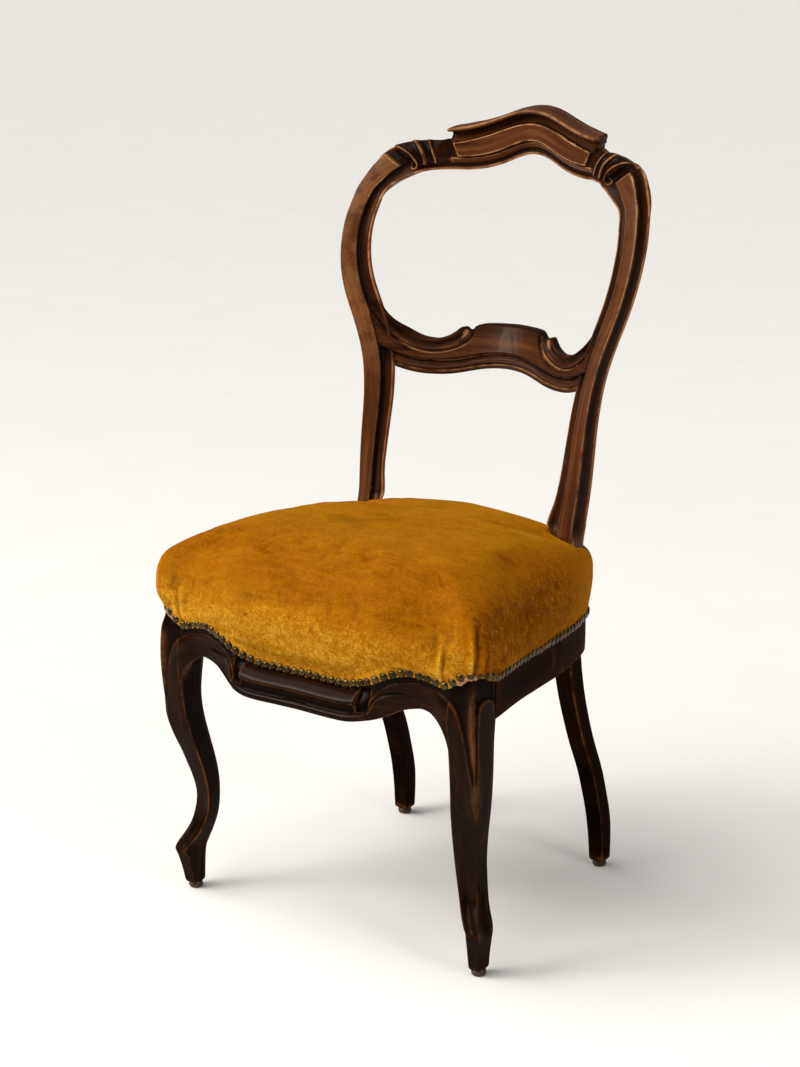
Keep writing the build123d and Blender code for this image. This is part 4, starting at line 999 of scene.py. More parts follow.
def leg_mesh():
    zs = np.unique(np.concatenate([[8, 8.5, 9.4, 11], np.arange(12, 46, 1.8), np.arange(46, 62, 0.9), np.arange(62, 120, 1.6), np.arange(120, 236, 2.4), np.arange(236, 352, 1.2), [352.0]]))
    rings, grain, rub, dark = [], [], [], []
    counts = (44, 40, 16, 16)
    for z in zs:
        use = _lc if z < 66 else LEG_SMOOTH
        c = [np.array([float(use[k][0](z)), float(use[k][1](z))]) for k in range(4)]
        if z < 11:
            mid = sum(c) / 4
            c = [mid + (p - mid) * (1 - 0.10 * (1 - float(ss(8, 10.6, z)))) for p in c]
        fo, fi, ri, ro = c
        pts, side, par = [], [], []
        for k, (a, b) in enumerate(((fi, fo), (fo, ro), (ro, ri), (ri, fi))):
            t = np.arange(counts[k]) / counts[k]
            pts.append(a[None] + (b - a)[None] * t[:, None])
            side += [k] * counts[k]
            par.append(t)
        pts = np.concatenate(pts)
        side = np.array(side)
        par = np.concatenate(par)
        for _ in range(4):
            pts = 0.25 * np.roll(pts, 1, 0) + 0.5 * pts + 0.25 * np.roll(pts, -1, 0)
        tan = np.roll(pts, -1, 0) - np.roll(pts, 1, 0)
        nor = np.stack([tan[:, 1], -tan[:, 0]], -1)
        nor /= np.linalg.norm(nor, axis=1)[:, None]
        if ((nor * (pts - pts.mean(0))).sum() < 0):
            nor = -nor
        wf, wo = np.linalg.norm(fo - fi), np.linalg.norm(ro - fo)
        hz = float(ss(44, 60, z) * ss(128, 84, z))
        gz = float(ss(205, 262, z))
        up = float(ss(120, 175, z))
        top = float(ss(352, 335, z))
        foot = float(ss(47, 53, z))
        off = np.zeros(len(pts))
        d = par * wf
        f = side == 0
        low_up = float(ss(150, 200, z))
        dc = np.where(f, (1 - par) * wf, np.where(side == 1, par * wo, 99.0))
        q = np.where(f, -dc, np.where(side == 1, dc, 99.0))
        fz = side == 1
        # Broad roll that comes down from the rail's arch, a hollow at the corner, and a tongue on the outer side.
        qb = float(np.interp(z, [228, 245, 255, 275, 292, 307, 318.5, 326, 340], [-0.6, -2.5, -6, -8.5, -10.5, -15.5, -23, -wf, -wf]))
        qt = float(np.interp(z, [228, 245, 260, 285, 300, 345], [0.6, 2.0, 5.0, 8.0, 9.5, 9.5]))
        cut = float(ss(222, 244, z))
        roll, do = roll_height(pts[:, 0], np.full(len(pts), z))
        xr = float(np.interp(z, [165, 190, 220, 238, 255, 275, 292, 307, 318.5, 326], [208, 213, 217, 216, 213.5, 211, 208, 203, 196, 187]))
        sd = np.where((pts[:, 0] < xr) & (z < 326), do, -do)
        w2 = wo - 4.0 - qt
        half = w2 / 2
        cz = float(np.clip((z - 310.0) / 14.0, 0, 1))
        half_z = half * math.sqrt(max(1 - cz * cz, 0.0))
        dt = np.abs(q - (qt + half))
        tongue = 1.9 * np.clip(1 - (dt / max(half_z, 0.4)) ** 2, 0, 1) ** 0.55 * low_up * (1.0 if half_z > 0.5 else 0.0)
        in_roll = ss(-1.8, 1.2, sd)
        in_tongue = ss(half_z + 1.0, half_z - 0.8, dt) if half_z > 0.5 else np.zeros(len(q))
        ground = cut * (1 - np.where(f, in_roll, 0)) * (1 - np.where(fz, in_tongue, 0)) * (side < 2) * np.where(fz, ss(wo - 1.0, wo - 5.0, q), 1.0)
        scoop = -3.0 * np.sin(math.pi * np.clip((par - 0.14) / 0.62, 0, 1)) ** 0.9 * hz
        scoop2 = -2.8 * np.sin(math.pi * np.clip((par - 0.20) / 0.60, 0, 1)) ** 0.9 * hz
        off[f] = (roll * ss(-0.6, 2.0, sd) + scoop)[f]
        off[fz] = (tongue + scoop2)[fz]
        off = off - 2.3 * ground
        fill = float(ss(170, 215, z) * ss(348, 330, z))
        off += fill * 2.9 * np.exp(-(dc / 6.5) ** 2)
        hollow = ground * np.exp(-((q - (max(qb, -10.0) + qt) / 2) / max((qt - max(qb, -10.0)) * 0.30, 0.9)) ** 2)
        edge_in = np.exp(-(d / 1.3) ** 2) * f * float(ss(48, 60, z) * ss(300, 285, z))
        edge_out = np.exp(-((wo - q) / 1.3) ** 2) * fz * float(ss(48, 60, z) * ss(330, 290, z)) * 0.5
        rub.append(np.clip(hollow * float(ss(336, 318, z) * ss(236, 272, z)) * 0.62 + 0.85 * edge_in + edge_out, 0, 1))
        # Painted shade in the sunk ground round the roll and the tongue, lighter in the corner groove, and on the leg's
        # inner side up under the rail.
        dark.append(np.clip(0.85 * ground * (1 - 0.75 * hollow) + 0.45 * float(ss(140, 200, z)) * (side == 3), 0, 0.95))
        off += 1.0 * hz * np.exp(-(dc / 4.0) ** 2)
        pts = pts + nor * off[:, None]
        rings.append(np.concatenate([pts, np.full((len(pts), 1), z)], 1))
        grain.append(np.stack([np.full(len(pts), z), pts[:, 0], pts[:, 1]], -1))
    return np.array(rings), np.array(grain, float), np.array(dark), np.array(rub)


P, G, D, W = leg_mesh()
for side, mir in (("right", False), ("left", True)):
    bld = Builder()
    bld.grid(P, G, close=True, cap0=True, cap1=True, dark=D, rub=W)
    bld.make("front_leg_" + side + "_carved", CARVED, ["front_leg_" + side], mirror=mir, calm=0.7)

# ------------------------------------------------------------------ seat outline
OUTLINE = [(0, -240.5), (60, -240.6), (80, -241.8), (97, -243.2), (118, -240.6), (135, -237.0), (150, -233.5),
           (170, -230.2), (190, -228.6), (205, -227.2), (214.2, -222.8), (219.6, -214.6), (221.9, -203.5), (222.2, -190.0),
           (218.2, -165.0), (212.8, -140.0), (207.2, -110.0), (203.0, -80.0), (199.0, -50.0), (194.2, -15.0),
           (188.2, 15.0), (181.0, 42.0), (172.4, 68.0), (162.5, 88.0), (148.0, 100.5), (125.0, 105.6),
           (80.0, 107.0), (0, 107.4)]
SEAT_C = np.array([0.0, -68.0])
_o = np.array(OUTLINE, float)
_os = np.concatenate([[0], np.cumsum(np.hypot(*np.diff(_o, axis=0).T))])
_ofx, _ofy = spline(_os, _o[:, 0]), spline(_os, _o[:, 1])
HALF = _os[-1]


def outline_at(s, inset=0.0):
    """Point and outward normal at run s along the right half, front middle to rear middle; s may be negative for the left."""
    a = np.abs(s)
    x, y = _ofx(a), _ofy(a)
    e = 1.5
    x0, x1 = _ofx(np.maximum(a - e, 0)), _ofx(np.minimum(a + e, HALF))
    y0, y1 = _ofy(np.maximum(a - e, 0)), _ofy(np.minimum(a + e, HALF))
    tx, ty = x1 - x0, y1 - y0
    ln = np.hypot(tx, ty)
    nx, ny = ty / ln, -tx / ln
    nx = np.where(a < 0.5, 0, np.where(a > HALF - 0.5, 0, nx))
    sg = np.where(s < 0, -1.0, 1.0)
    return np.stack([sg * (x - nx * inset), y - ny * inset], -1), np.stack([sg * nx, ny], -1)


# ------------------------------------------------------------------ front seat rail
front_yl = spline([0, 60, 87, 101, 114, 130, 153, 175, 196], [-258, -257.4, -254, -247.4, -241, -235, -230.5, -228.0, -228.0])
front_yn = spline([0, 60, 80, 97, 118, 135, 150, 175, 196], [-238.7, -238.8, -240, -241.2, -238.6, -234.8, -231.0, -227.0, -226.0])
front_zb = spline([0, 30, 60, 75, 87, 101, 114, 122, 130, 145, 153, 160, 168, 175, 180, 185, 189, 191, 193],
                  [283, 282.4, 282, 283, 285, 288, 293, 297, 301, 305, 306, 304.8, 301, 296, 291, 283, 272, 262, 252])


def front_rail_mesh():
    xs = np.concatenate([-np.linspace(192.5, 160, 90), np.linspace(-159, 159, 380), np.linspace(160, 192.5, 90)])
    zt = 350.0
    m = 126
    a = np.abs(xs)[:, None]
    zb = front_zb(a)
    yl, yn = front_yl(a), front_yn(a)
    t = np.linspace(0, 1, m)[None, :]
    z = zb + (zt - zb) * t ** 1.1
    h = z - zb
    a = a + 0 * z
    # Plain face: swells forward low down, upright above.
    swell = 1 - ss(14, 38, h)
    y = yn + (yl + 4.0 - yn) * swell
    # Rolled lower edge under the panel, and the torus panel with square-cut ends.
    bead = 3.6 * np.clip(1 - ((h - 4.4) / 4.7) ** 2, 0, 1) ** 0.6
    cove = 1.6 * np.exp(-((h - 13.0) / 3.2) ** 2)
    pan = ss(81.4, 80.6, a)
    torus = 6.6 * np.clip(1 - ((h - 26.0) / 7.4) ** 2, 0, 1) ** 0.5
    rec = ss(80.6, 82, a) * ss(97, 93, a)
    recess = 3.0 * rec * ss(10, 13, h) * (1 - ss(32, 37, h))
    # Broad scrolled roll over the arch.
    nose = np.interp(z, [262, 292, 300.5, 309, 317, 323.5, 330, 333.6, 335.4, 336.2], [96.2, 95.0, 94.5, 95.5, 100, 108, 119, 128, 138, 160])
    tail = np.interp(z, [317, 318.5, 326, 331, 334.5, 336.2], [220, 196, 187, 176, 162, 148])
    sc = ss(-1.3, 1.7, a - nose) * ss(-1.3, 1.7, tail - a) * (z < 336.4)
    roll, _ = roll_height(a, z)
    leg_front = np.interp(z, [250, 275, 300, 318, 336, 352], [-227.4, -229.2, -230.0, -229.0, -227.0, -225.0])
    y = y + (leg_front - y) * ss(160, 187, a)
    eye = smooth_line([(96.5, 298), (98.8, 307), (105, 314.0), (114, 318.4), (125, 320.4), (137, 320.4), (152, 319)], 2.0)
    de = pdist(a, z, [tuple(p) for p in eye])
    groove = 1.9 * np.exp(-(de / 1.5) ** 2) * ss(152, 124, a)
    y = y - bead * (1 - sc) + cove * (1 - sc) - torus * pan + recess - roll * sc + groove * sc
    y = y + 2.4 * ss(189.4, 192.4, a)
    # Painted shade in the cove under the panel, in a line above the panel under the nails, in the end recesses, in the
    # scroll's groove and on the plain face above the arch.
    dk = 0.85 * np.exp(-((h - 13.5) / 4.2) ** 2) * (1 - sc) * ss(98, 94, a) + 0.7 * pan * np.exp(-((h - 35.0) / 1.8) ** 2)
    dk = dk + 0.85 * rec * ss(9, 12, h) + 0.85 * np.exp(-(de / 1.5) ** 2) * ss(152, 124, a) * sc + 0.6 * (1 - sc) * ss(98, 102, a)
    dk = np.clip(dk, 0, 0.95)
    rb = 0.3 * pan * np.exp(-((h - 18.9) / 0.7) ** 2) + 0.45 * np.exp(-((h - 0.8) / 0.8) ** 2) * (0.4 + 0.6 * ss(92, 104, a) * ss(160, 140, a))
    rb = rb + 0.4 * np.exp(-((a - 80.7) / 0.6) ** 2) * np.clip(1 - ((h - 26.0) / 7.4) ** 2, 0, 1)
    y = y + 0.15 * wob(np.stack([xs[:, None] + 0 * z, 0 * z, z], -1), 36.0, 9)
    # Bottom edge rounds under.
    y = y + 3.0 * (1 - ss(0, 1.6, h)) ** 2
    front = np.stack([xs[:, None] + 0 * z, y, z], -1)[:, ::-1]
    rows = []
    zb1 = zb[:, 0]
    for yy, zz in ((yl[:, 0] + 8.5, zb1 + 0.2), (yl[:, 0] + 11.5, zb1 + 1.4), (np.full(len(xs), -224.0) + 0 * zb1, np.maximum(zb1 + 3.0, 292.0)),
                   (np.full(len(xs), -212.0), np.maximum(zb1 + 4.5, 296.0)), (np.full(len(xs), -210.0), np.maximum(zb1 + 6.5, 298.0)),
                   (np.full(len(xs), -210.0), np.full(len(xs), 325.0)), (np.full(len(xs), -210.0), np.full(len(xs), 348.5)),
                   (np.full(len(xs), -211.5), np.full(len(xs), 350.0))):
        rows.append(np.stack([xs, np.maximum(yy, y[:, 0] + 1.0) if yy is not None else yy, zz], -1))
    p = np.concatenate([front, np.stack(rows, 1)], 1)
    return p, np.stack([p[..., 0], p[..., 2], p[..., 1]], -1), np.concatenate([dk[:, ::-1], np.zeros((len(xs), 8))], 1), np.concatenate([rb[:, ::-1], np.zeros((len(xs), 8))], 1)


bld = Builder()
P, G, D, W = front_rail_mesh()
Q = np.zeros(D.shape)
Q[:, -8:] = 1.0
bld.grid(P, G, close=True, cap0=True, cap1=True, dark=D, rub=W, quiet=Q)
bld.make("front_rail_carved", CARVED, ["front_seat_rail"], calm=0.6)

# ------------------------------------------------------------------ side, corner and rear rails
SEC = [(2.0, 349.0), (2.6, 350.0), (5.0, 350.0), (14, 350.0), (23.0, 350.0), (24.0, 349.0), (24.0, 335), (24.0, 318), (24.0, 298.5), (23.2, 296.4), (21.5, 296.0),
       (12, 296.0), (5.0, 296.0), (3.6, 296.3), (2.5, 297.2), (2.05, 298.8), (1.9, 303), (1.75, 312), (1.7, 322), (1.75, 334), (1.9, 342)]
_sy = np.linspace(0, HALF, 4000)
_pp, _ = outline_at(_sy)
s_front = float(_sy[np.argmin(np.abs(_pp[:, 1] + 184.5) + 1e3 * (_pp[:, 0] < 150))])
s_seam = float(_sy[np.argmin(np.abs(_pp[:, 1] + 33.0) + 1e3 * (_pp[:, 0] < 150))])
s_rear = float(_sy[np.argmin(np.abs(_pp[:, 0] - 108.0) + 1e3 * (_pp[:, 1] < 50))])


def rail_run(s0, s1, step=4.0):
    n = max(8, int((s1 - s0) / step))
    s = np.linspace(s0, s1, n)
    s = np.concatenate([[s0], [s0 + 0.35], s[1:-1], [s1 - 0.35], [s1]])
    rows, gs = [], []
    for i, q in enumerate(s):
        nudge = 0.35 if i in (0, len(s) - 1) else 0.0
        row = []
        for ins, z in SEC:
            zc, ic = 323.0, 13.0
            k = 1 - nudge / 12.0
            ii = ic + (ins - ic) * k
            p, _ = outline_at(np.array(q), ii)
            row.append((p[0], p[1], zc + (z - zc) * (1 - nudge / 27.0)))
        rows.append(row)
        gs.append([(q, z, ins) for ins, z in SEC])
    return np.array(rows, float), np.array(gs, float)


for name, node, s0, s1 in (("side_rail", "side_seat_rail", s_front, s_seam), ("corner_rail", "rear_corner_rail", s_seam, s_rear)):
    P, G = rail_run(s0, s1)
    for side, mir in (("right", False), ("left", True)):
        bld = Builder()
        bld.grid(P, G, close=True, cap0=True, cap1=True)
        bld.make(name + "_" + side, WOOD_BASE, [node + "_" + side], mirror=mir, calm=0.85)
P, G = rail_run(s_rear, HALF)
flip = np.array([-1.0, 1, 1])
P = np.concatenate([P[:-2], P[::-1][2:] * flip])
G = np.concatenate([G[:-2], G[::-1][2:] * np.array([-1, 1, 1]) + np.array([2 * HALF, 0, 0])])
bld = Builder()
bld.grid(P, G, close=True, cap0=True, cap1=True)
bld.make("back_rail", WOOD_BASE, ["rear_seat_rail"], calm=0.85)

# ------------------------------------------------------------------ cover and nails
NAIL_FRONT = ([0, 60, 80, 97, 118, 135, 150, 165, 178, 186, 193, 199, 211, 224],
              [321, 321, 325.5, 331, 341, 346.5, 347, 344, 340.5, 339, 344, 349.5, 355, 357])
NAIL_SIDE = ([-226, -222, -210, -200, -186, 200], [357, 357, 354, 349, 344.5, 344])


def nail_z(x, y):
    return np.where(y < -215, np.interp(np.abs(x), *NAIL_FRONT), np.interp(y, *NAIL_SIDE))


PROF = pchip([300, 336, 352, 366, 384, 400, 411, 421, 430, 438, 444, 449, 452.5, 455, 456.2],
             [0.0, 0.0, -1.3, -3.8, -6.4, -6.9, -5.2, 0.2, 8.5, 21, 37, 59, 85, 120, 150])


_sy2 = np.linspace(0, HALF, 4000)
_p2, _ = outline_at(_sy2)
corner_s = float(_sy2[np.argmin(np.hypot(_p2[:, 0] - 219.5, _p2[:, 1] + 222.0))])


def show_edge(s):
    """How far the ragged turned edge of the cover hangs out under the nails, at the front corners."""
    d = np.abs(s) - corner_s
    return np.interp(d, [-30, -25, -19, -13, -7, -2, 3, 8], [0, 1.2, 3.6, 4.2, 1.6, 2.8, 1.6, 0]) * (1 + 0.25 * np.sin(s / 2.3) + 0.18 * np.sin(s / 0.9))


def crown(x, y, z):
    """Lift of the stuffing: fuller in the middle of the rear edge, lower at the corners."""
    a = np.abs(x)
    rear = ss(-15, 45, y) * (1 - 0.4 * ss(62, 85, y))
    d = 5.5 * np.exp(-(x / 70.0) ** 2) * ss(5, 70, y) - 7.0 * np.exp(-((a - 142.0) / 42.0) ** 2) * rear
    d = d - 3.2 * np.exp(-((a - 150.0) / 40.0) ** 2) * ss(-60, -15, y) * (1 - rear)
    d = d - 3.4 * np.exp(-(np.hypot(a - 205.0, y + 200.0) / 45.0) ** 2)
    return d * ss(404, 440, z)


def cover_form():
    """Outer skin of the seat: rings from the hem up to the crown."""
    n = 560
    s = np.linspace(-HALF, HALF, n, endpoint=False)
    base, nor = outline_at(s)
    # Steps up the side and over the top, even in length along the profile.
    zq = np.linspace(352, 456.2, 600)
    pr = PROF(zq)
    ln = np.concatenate([[0], np.cumsum(np.hypot(np.diff(zq), np.diff(pr)))])
    ztop = np.interp(np.linspace(0, ln[-1], 52), ln, zq)
    hem = nail_z(base[:, 0], base[:, 1]) - 3.4 - show_edge(s)
    rings = []
    low = []
    for t in np.linspace(0, 1, 10)[:-1]:
        z = hem + (352 - hem) * t
        k = (222.0 - PROF(z)) / 222.0
        low.append(np.concatenate([SEAT_C + (base - SEAT_C) * k[:, None], z[:, None]], 1))
    for z in ztop:
        k = (222.0 - PROF(z)) / 222.0
        xy = SEAT_C + (base - SEAT_C) * k
        rings.append(np.concatenate([xy, np.full((n, 1), z)], 1))
    # Where the hem is above 352 the lower rings stay below it.
    rings = np.array(low + rings)
    rings[:, :, 2] = np.maximum(rings[:, :, 2], hem[None, :] + np.linspace(0, 6, len(rings))[:, None])
    last = rings[-1]
    for f in (0.72, 0.46, 0.24, 0.09):
        r = SEAT_C + (last[:, :2] - SEAT_C) * f
        z = last[:, 2] + (1 - f * f) * 0.9
        rings = np.concatenate([rings, np.concatenate([r, z[:, None]], 1)[None]])
    rings[:, :, 2] += crown(rings[:, :, 0], rings[:, :, 1], rings[:, :, 2])
    return s, rings


s_c, R = cover_form()
nr, nc = R.shape[:2]
base, nor2 = outline_at(s_c)
zz = R[:, :, 2]


def grid_normals(r):
    du = np.roll(r, -1, 1) - np.roll(r, 1, 1)
    dv = np.gradient(r, axis=0)
    nn = np.cross(du, dv)
    nn /= np.linalg.norm(nn, axis=2, keepdims=True) + 1e-9
    out = r - np.array([0.0, -68.0, 380.0])
    sgn = np.sign((nn * out).sum(2, keepdims=True))
    return nn * np.where(sgn == 0, 1, sgn)


NN = grid_normals(R)
disp = 0.9 * wob(R, 130.0, 21, 2) * ss(360, 400, zz) + 0.35 * wob(R, 38.0, 22, 2) * ss(352, 385, zz)
# The stuffing stands out over the front corners.
disp += 3.6 * np.exp(-((np.abs(s_c)[None, :] - corner_s) / 26.0) ** 2) * ss(356, 378, zz) * ss(440, 412, zz)
# Pulls between the nails along the hem.
fade_hem = ss(372, 350, zz) * 0.55
disp += -0.14 * fade_hem * (0.5 + 0.5 * np.cos(2 * math.pi * s_c[None, :] / 10.3))
# Pleats at the front corners, with painted light on one side of each fold and painted shade on the other.
fold_painted_light = np.zeros_like(zz)
for sg in (-1, 1):
    for off, depth, top, lean in ((-37.0, 3.2, 400.0, 0.05), (-1.0, 4.6, 424.0, 0.03), (13.0, 2.4, 398.0, -0.04), (-22.0, 1.2, 380.0, 0.03), (26.0, 1.3, 384.0, -0.05)):
        dd = sg * s_c[None, :] - (corner_s + off + lean * (zz - 350))
        fade = ss(top, top - 34, zz) * (0.22 + 0.78 * ss(350, 372, zz))
        lit = ss(top, top - 34, zz) * depth / 4.6
        fold_painted_light += lit * (0.55 * np.exp(-((dd + 4.4) / 2.6) ** 2) - 0.6 * np.exp(-((dd - 0.6) / 2.0) ** 2))
        disp += -depth * fade * np.exp(-(dd / 1.7) ** 2) + 0.6 * depth * fade * np.exp(-((dd + 4.4) / 3.2) ** 2)
# Tuck round the rear posts.
for sg in (-1, 1):
    px, py = sg * 145.3, 75.0
    dx = np.maximum(np.abs(R[:, :, 0] - px) - 13.0, 0)
    dy = np.maximum(np.abs(R[:, :, 1] - py) - 13.5, 0)
    dpost = np.hypot(dx, dy)
    disp += -5.5 * np.exp(-(dpost / 6.5) ** 2) * ss(380, 415, zz)
    # Pull lines that run off the posts.
    for ang in (-2.55, -2.05, -1.55):
        ang = ang if sg > 0 else math.pi - ang
        ux, uy = math.cos(ang), math.sin(ang)
        rx, ry = R[:, :, 0] - px, R[:, :, 1] - py
        al = rx * ux + ry * uy
        ac = -rx * uy + ry * ux
        disp += -0.45 * ss(10, 20, al) * ss(75, 25, al) * np.exp(-(ac / (3.0 + 0.05 * np.abs(al))) ** 2)
SOFT = R + NN * disp[:, :, None]


def simulate(form):
    """Lets the stuffed cover swell a little under pressure, held at its hem and posts."""
    n, m = form.shape[:2]
    sub_i = np.arange(0, n, 2)
    sub_j = np.arange(0, m, 4)
    f = form[np.ix_(sub_i, sub_j)] * 0.001
    ni, nj = f.shape[:2]
    verts = f.reshape(-1, 3)
    faces = quads(ni, nj, True) + [list(range((ni - 1) * nj, ni * nj)), list(range(nj - 1, -1, -1))]
    me = bpy.data.meshes.new("cover_sim")
    me.from_pydata(verts.tolist(), [], faces)
    bm = bmesh.new()
    bm.from_mesh(me)
    bmesh.ops.recalc_face_normals(bm, faces=bm.faces)
    bm.to_mesh(me)
    bm.free()
    ob = bpy.data.objects.new("cover_sim", me)
    bpy.context.scene.collection.objects.link(ob)
    vg = ob.vertex_groups.new(name="pin")
    x, y = verts[:, 0] * 1000, verts[:, 1] * 1000
    near = (np.hypot(np.abs(x) - 145.3, y - 75.0) < 24)
    for i in range(len(verts)):
        row = i // nj
        if row < 3 or near[i]:
            vg.add([i], 1.0, "REPLACE")
    c = ob.modifiers.new("Cloth", "CLOTH")
    st = c.settings
    st.quality = 6
    st.mass = 0.35
    st.tension_stiffness = st.compression_stiffness = 25
    st.shear_stiffness = 12
    st.bending_stiffness = 1.2
    st.use_pressure = True
    st.uniform_pressure_force = 4.0
    st.effector_weights.gravity = 0
    st.vertex_group_mass = "pin"
    c.collision_settings.use_collision = False
    sc = bpy.context.scene
    for k in range(1, 21):
        sc.frame_set(k)
    dg = bpy.context.evaluated_depsgraph_get()
    ev = ob.evaluated_get(dg).to_mesh()
    co = np.empty(len(verts) * 3, np.float32)
    ev.vertices.foreach_get("co", co)
    move = (co.reshape(ni, nj, 3) - f) * 1000.0
    ob.evaluated_get(dg).to_mesh_clear()
    sc.frame_set(1)
    bpy.data.objects.remove(ob)
    bpy.data.meshes.remove(me)
    ln = np.linalg.norm(move, axis=2, keepdims=True)
    move = move * np.minimum(1.0, 5.0 / np.maximum(ln, 1e-6))
    # Back to the full grid.
    fi = np.clip(np.arange(n) / 2.0, 0, ni - 1)
    i0 = np.minimum(fi.astype(int), ni - 2)
    ti = (fi - i0)[:, None, None]
    rows = move[i0] * (1 - ti) + move[i0 + 1] * ti
    fj = np.arange(m) / 4.0
    j0 = fj.astype(int) % nj
    tj = (fj - fj.astype(int))[None, :, None]
    return rows[:, j0] * (1 - tj) + rows[:, (j0 + 1) % nj] * tj


shrunk = SOFT - NN * (1.0 * ss(356, 400, zz))[:, :, None]
SOFT = shrunk + simulate(shrunk)
# Hem turned under, and the inner skin.
inner = SOFT.copy()
inner_n = grid_normals(SOFT)
inner = SOFT - inner_n * 1.7
hem_in = SOFT[0].copy()
hem_in[:, :2] -= nor2 * 1.6
hem_in[:, 2] += 0.3
hem_mid = SOFT[0].copy()
hem_mid[:, :2] -= nor2 * 0.5
hem_mid[:, 2] -= 0.7
skin = np.concatenate([inner[::-1][:-4:1][:-1], np.array([hem_in]), np.array([hem_mid]), SOFT])
bld = Builder()
n_in = skin.shape[0] - nr
bld.grid(skin, None, close=True, cap0=True, cap1=True)
zs_ = skin[..., 2]
facing = np.concatenate([np.repeat(nor2[None], n_in, 0), np.repeat(nor2[None], nr, 0)])
front_f = np.clip(-facing[..., 1], 0, 1)
side_f = np.clip(np.abs(facing[..., 0]), 0, 1)
# Painted light and shade: lighter lower front and top, darker sides towards the front, a lighter rear side, lit and
# shaded pleat edges.
nap_and_painted_light = 0.62 * front_f * ss(425, 350, zs_) - 0.30 * side_f * ss(440, 400, zs_) * ss(60, -60, skin[..., 1]) + 0.08 * ss(448, 456, zs_)
nap_and_painted_light = nap_and_painted_light + 0.12 * side_f * ss(-20, 60, skin[..., 1]) * ss(445, 400, zs_)
nap_and_painted_light[n_in:] += fold_painted_light
edge_z = nail_z(base[:, 0], base[:, 1])[None, :] + 0 * zs_
raw = ss(-1.0, -2.4, zs_ - edge_z) * (show_edge(s_c) > 0.6)[None, :]
cover = bld.make("seat_cover_velvet", VELVET, ["seat_cover"], sharp=60, extra={"nap_and_painted_light": nap_and_painted_light, "raw": raw})

# Cotton layer under the velvet.
keep_r = np.arange(9, nr)
wad_o = SOFT[keep_r] - inner_n[keep_r] * 4.6
wad_o[..., 2] = np.maximum(wad_o[..., 2], 351.2)
wad_i = SOFT[keep_r] - inner_n[keep_r] * 7.4
wad_i[..., 2] = np.maximum(wad_i[..., 2], 351.0)
wad = np.concatenate([wad_i[::-1][:-1], wad_o])
wad = wad + (0.35 * wob(wad, 22.0, 51))[..., None] * np.array([0.3, 0.3, 0.5])
bld = Builder()
bld.grid(wad[:, ::2], None, close=True, cap0=True, cap1=True)
wadding = bld.make("cotton_layer", COTTON, ["cotton_wadding"], sharp=70)

# Domed nails along the hem.
loop_s = np.linspace(-HALF, HALF, 1601)
lp, ln_ = outline_at(loop_s, -0.15)
seg = np.hypot(*np.diff(lp, axis=0).T)
run = np.concatenate([[0], np.cumsum(seg)])
count = int(run[-1] / 10.3)
bld = Builder()
tone_all, rim_all = [], []
NA, NB = 18, 6
for k in range(count):
    q = (k + 0.5) / count * run[-1]
    sp = np.interp(q, run, loop_s)
    p, nrm = outline_at(np.array(sp), -0.1)
    z = float(nail_z(p[0], p[1])) + rng.normal(0, 0.35)
    nv = np.array([nrm[0], nrm[1], 0.0])
    tv = np.array([-nrm[1], nrm[0], 0.0])
    uv = np.array([0, 0, 1.0])
    tilt = rng.normal(0, 0.07, 2)
    axis = nv + tilt[0] * tv + tilt[1] * uv
    axis /= np.linalg.norm(axis)
    e1 = np.cross(uv, axis)
    e1 /= np.linalg.norm(e1)
    e2 = np.cross(axis, e1)
    rr = 5.1 * rng.uniform(0.96, 1.0)
    hh = 3.0 * rng.uniform(0.9, 1.08)
    c = np.array([p[0], p[1], z]) + tv * rng.normal(0, 0.25)
    verts, rim = [], []
    rows = [(-0.55, 0.93), (0.0, 1.0), (0.14, 0.985), (0.34, 0.92), (0.56, 0.80), (0.76, 0.62), (0.90, 0.41), (0.975, 0.2)]
    for hfrac, rad in rows:
        for j in range(NA):
            a = 2 * math.pi * j / NA
            verts.append(c + axis * hh * hfrac + (e1 * math.cos(a) + e2 * math.sin(a)) * rr * rad)
            rim.append(1.0 if hfrac < 0.1 else 0.35 if hfrac < 0.3 else 0.0)
    verts.append(c + axis * hh)
    rim.append(0.0)
    faces = quads(len(rows), NA, True)
    top = len(rows) * NA
    b = (len(rows) - 1) * NA
    faces += [[b + j, b + (j + 1) % NA, top] for j in range(NA)]
    faces.append(list(range(NA - 1, -1, -1)))
    bld.raw(verts, faces)
    tone_all += [rng.uniform(0, 1)] * len(verts)
    rim_all += rim
bld.make("brass_nails", BRASS, ["cover_nails"], sharp=50, wear=False, extra={"tone": tone_all, "rim": rim_all})

# ------------------------------------------------------------------ glides
for fb, x, y in (("front", 206.0, -192.0), ("rear", 148.0, 151.0)):
    for side, mir in (("right", False), ("left", True)):
        prof = [(0.0, 0.25), (3.5, 0.15), (5.6, 0.0), (6.9, 0.5), (7.9, 1.6), (8.4, 3.0), (8.5, 4.6), (8.3, 5.6), (7.7, 6.1), (7.9, 6.6), (8.1, 7.3), (8.0, 8.2), (7.2, 8.4)]
        NA = 32
        rows = []
        for r, z in prof[1:]:
            a = np.arange(NA) / NA * 2 * math.pi
            rows.append(np.stack([x + r * np.cos(a), y + r * np.sin(a), np.full(NA, z)], -1))
        bld = Builder()
        bld.grid(np.array(rows), None, close=True, cap0=True, cap1=True)
        bld.make("foot_glide_" + fb + "_" + side, GLIDE, ["glide_" + fb + "_" + side], mirror=mir, sharp=45)

# ------------------------------------------------------------------ webbing, canvas and stuffing
WEB_T = 1.7


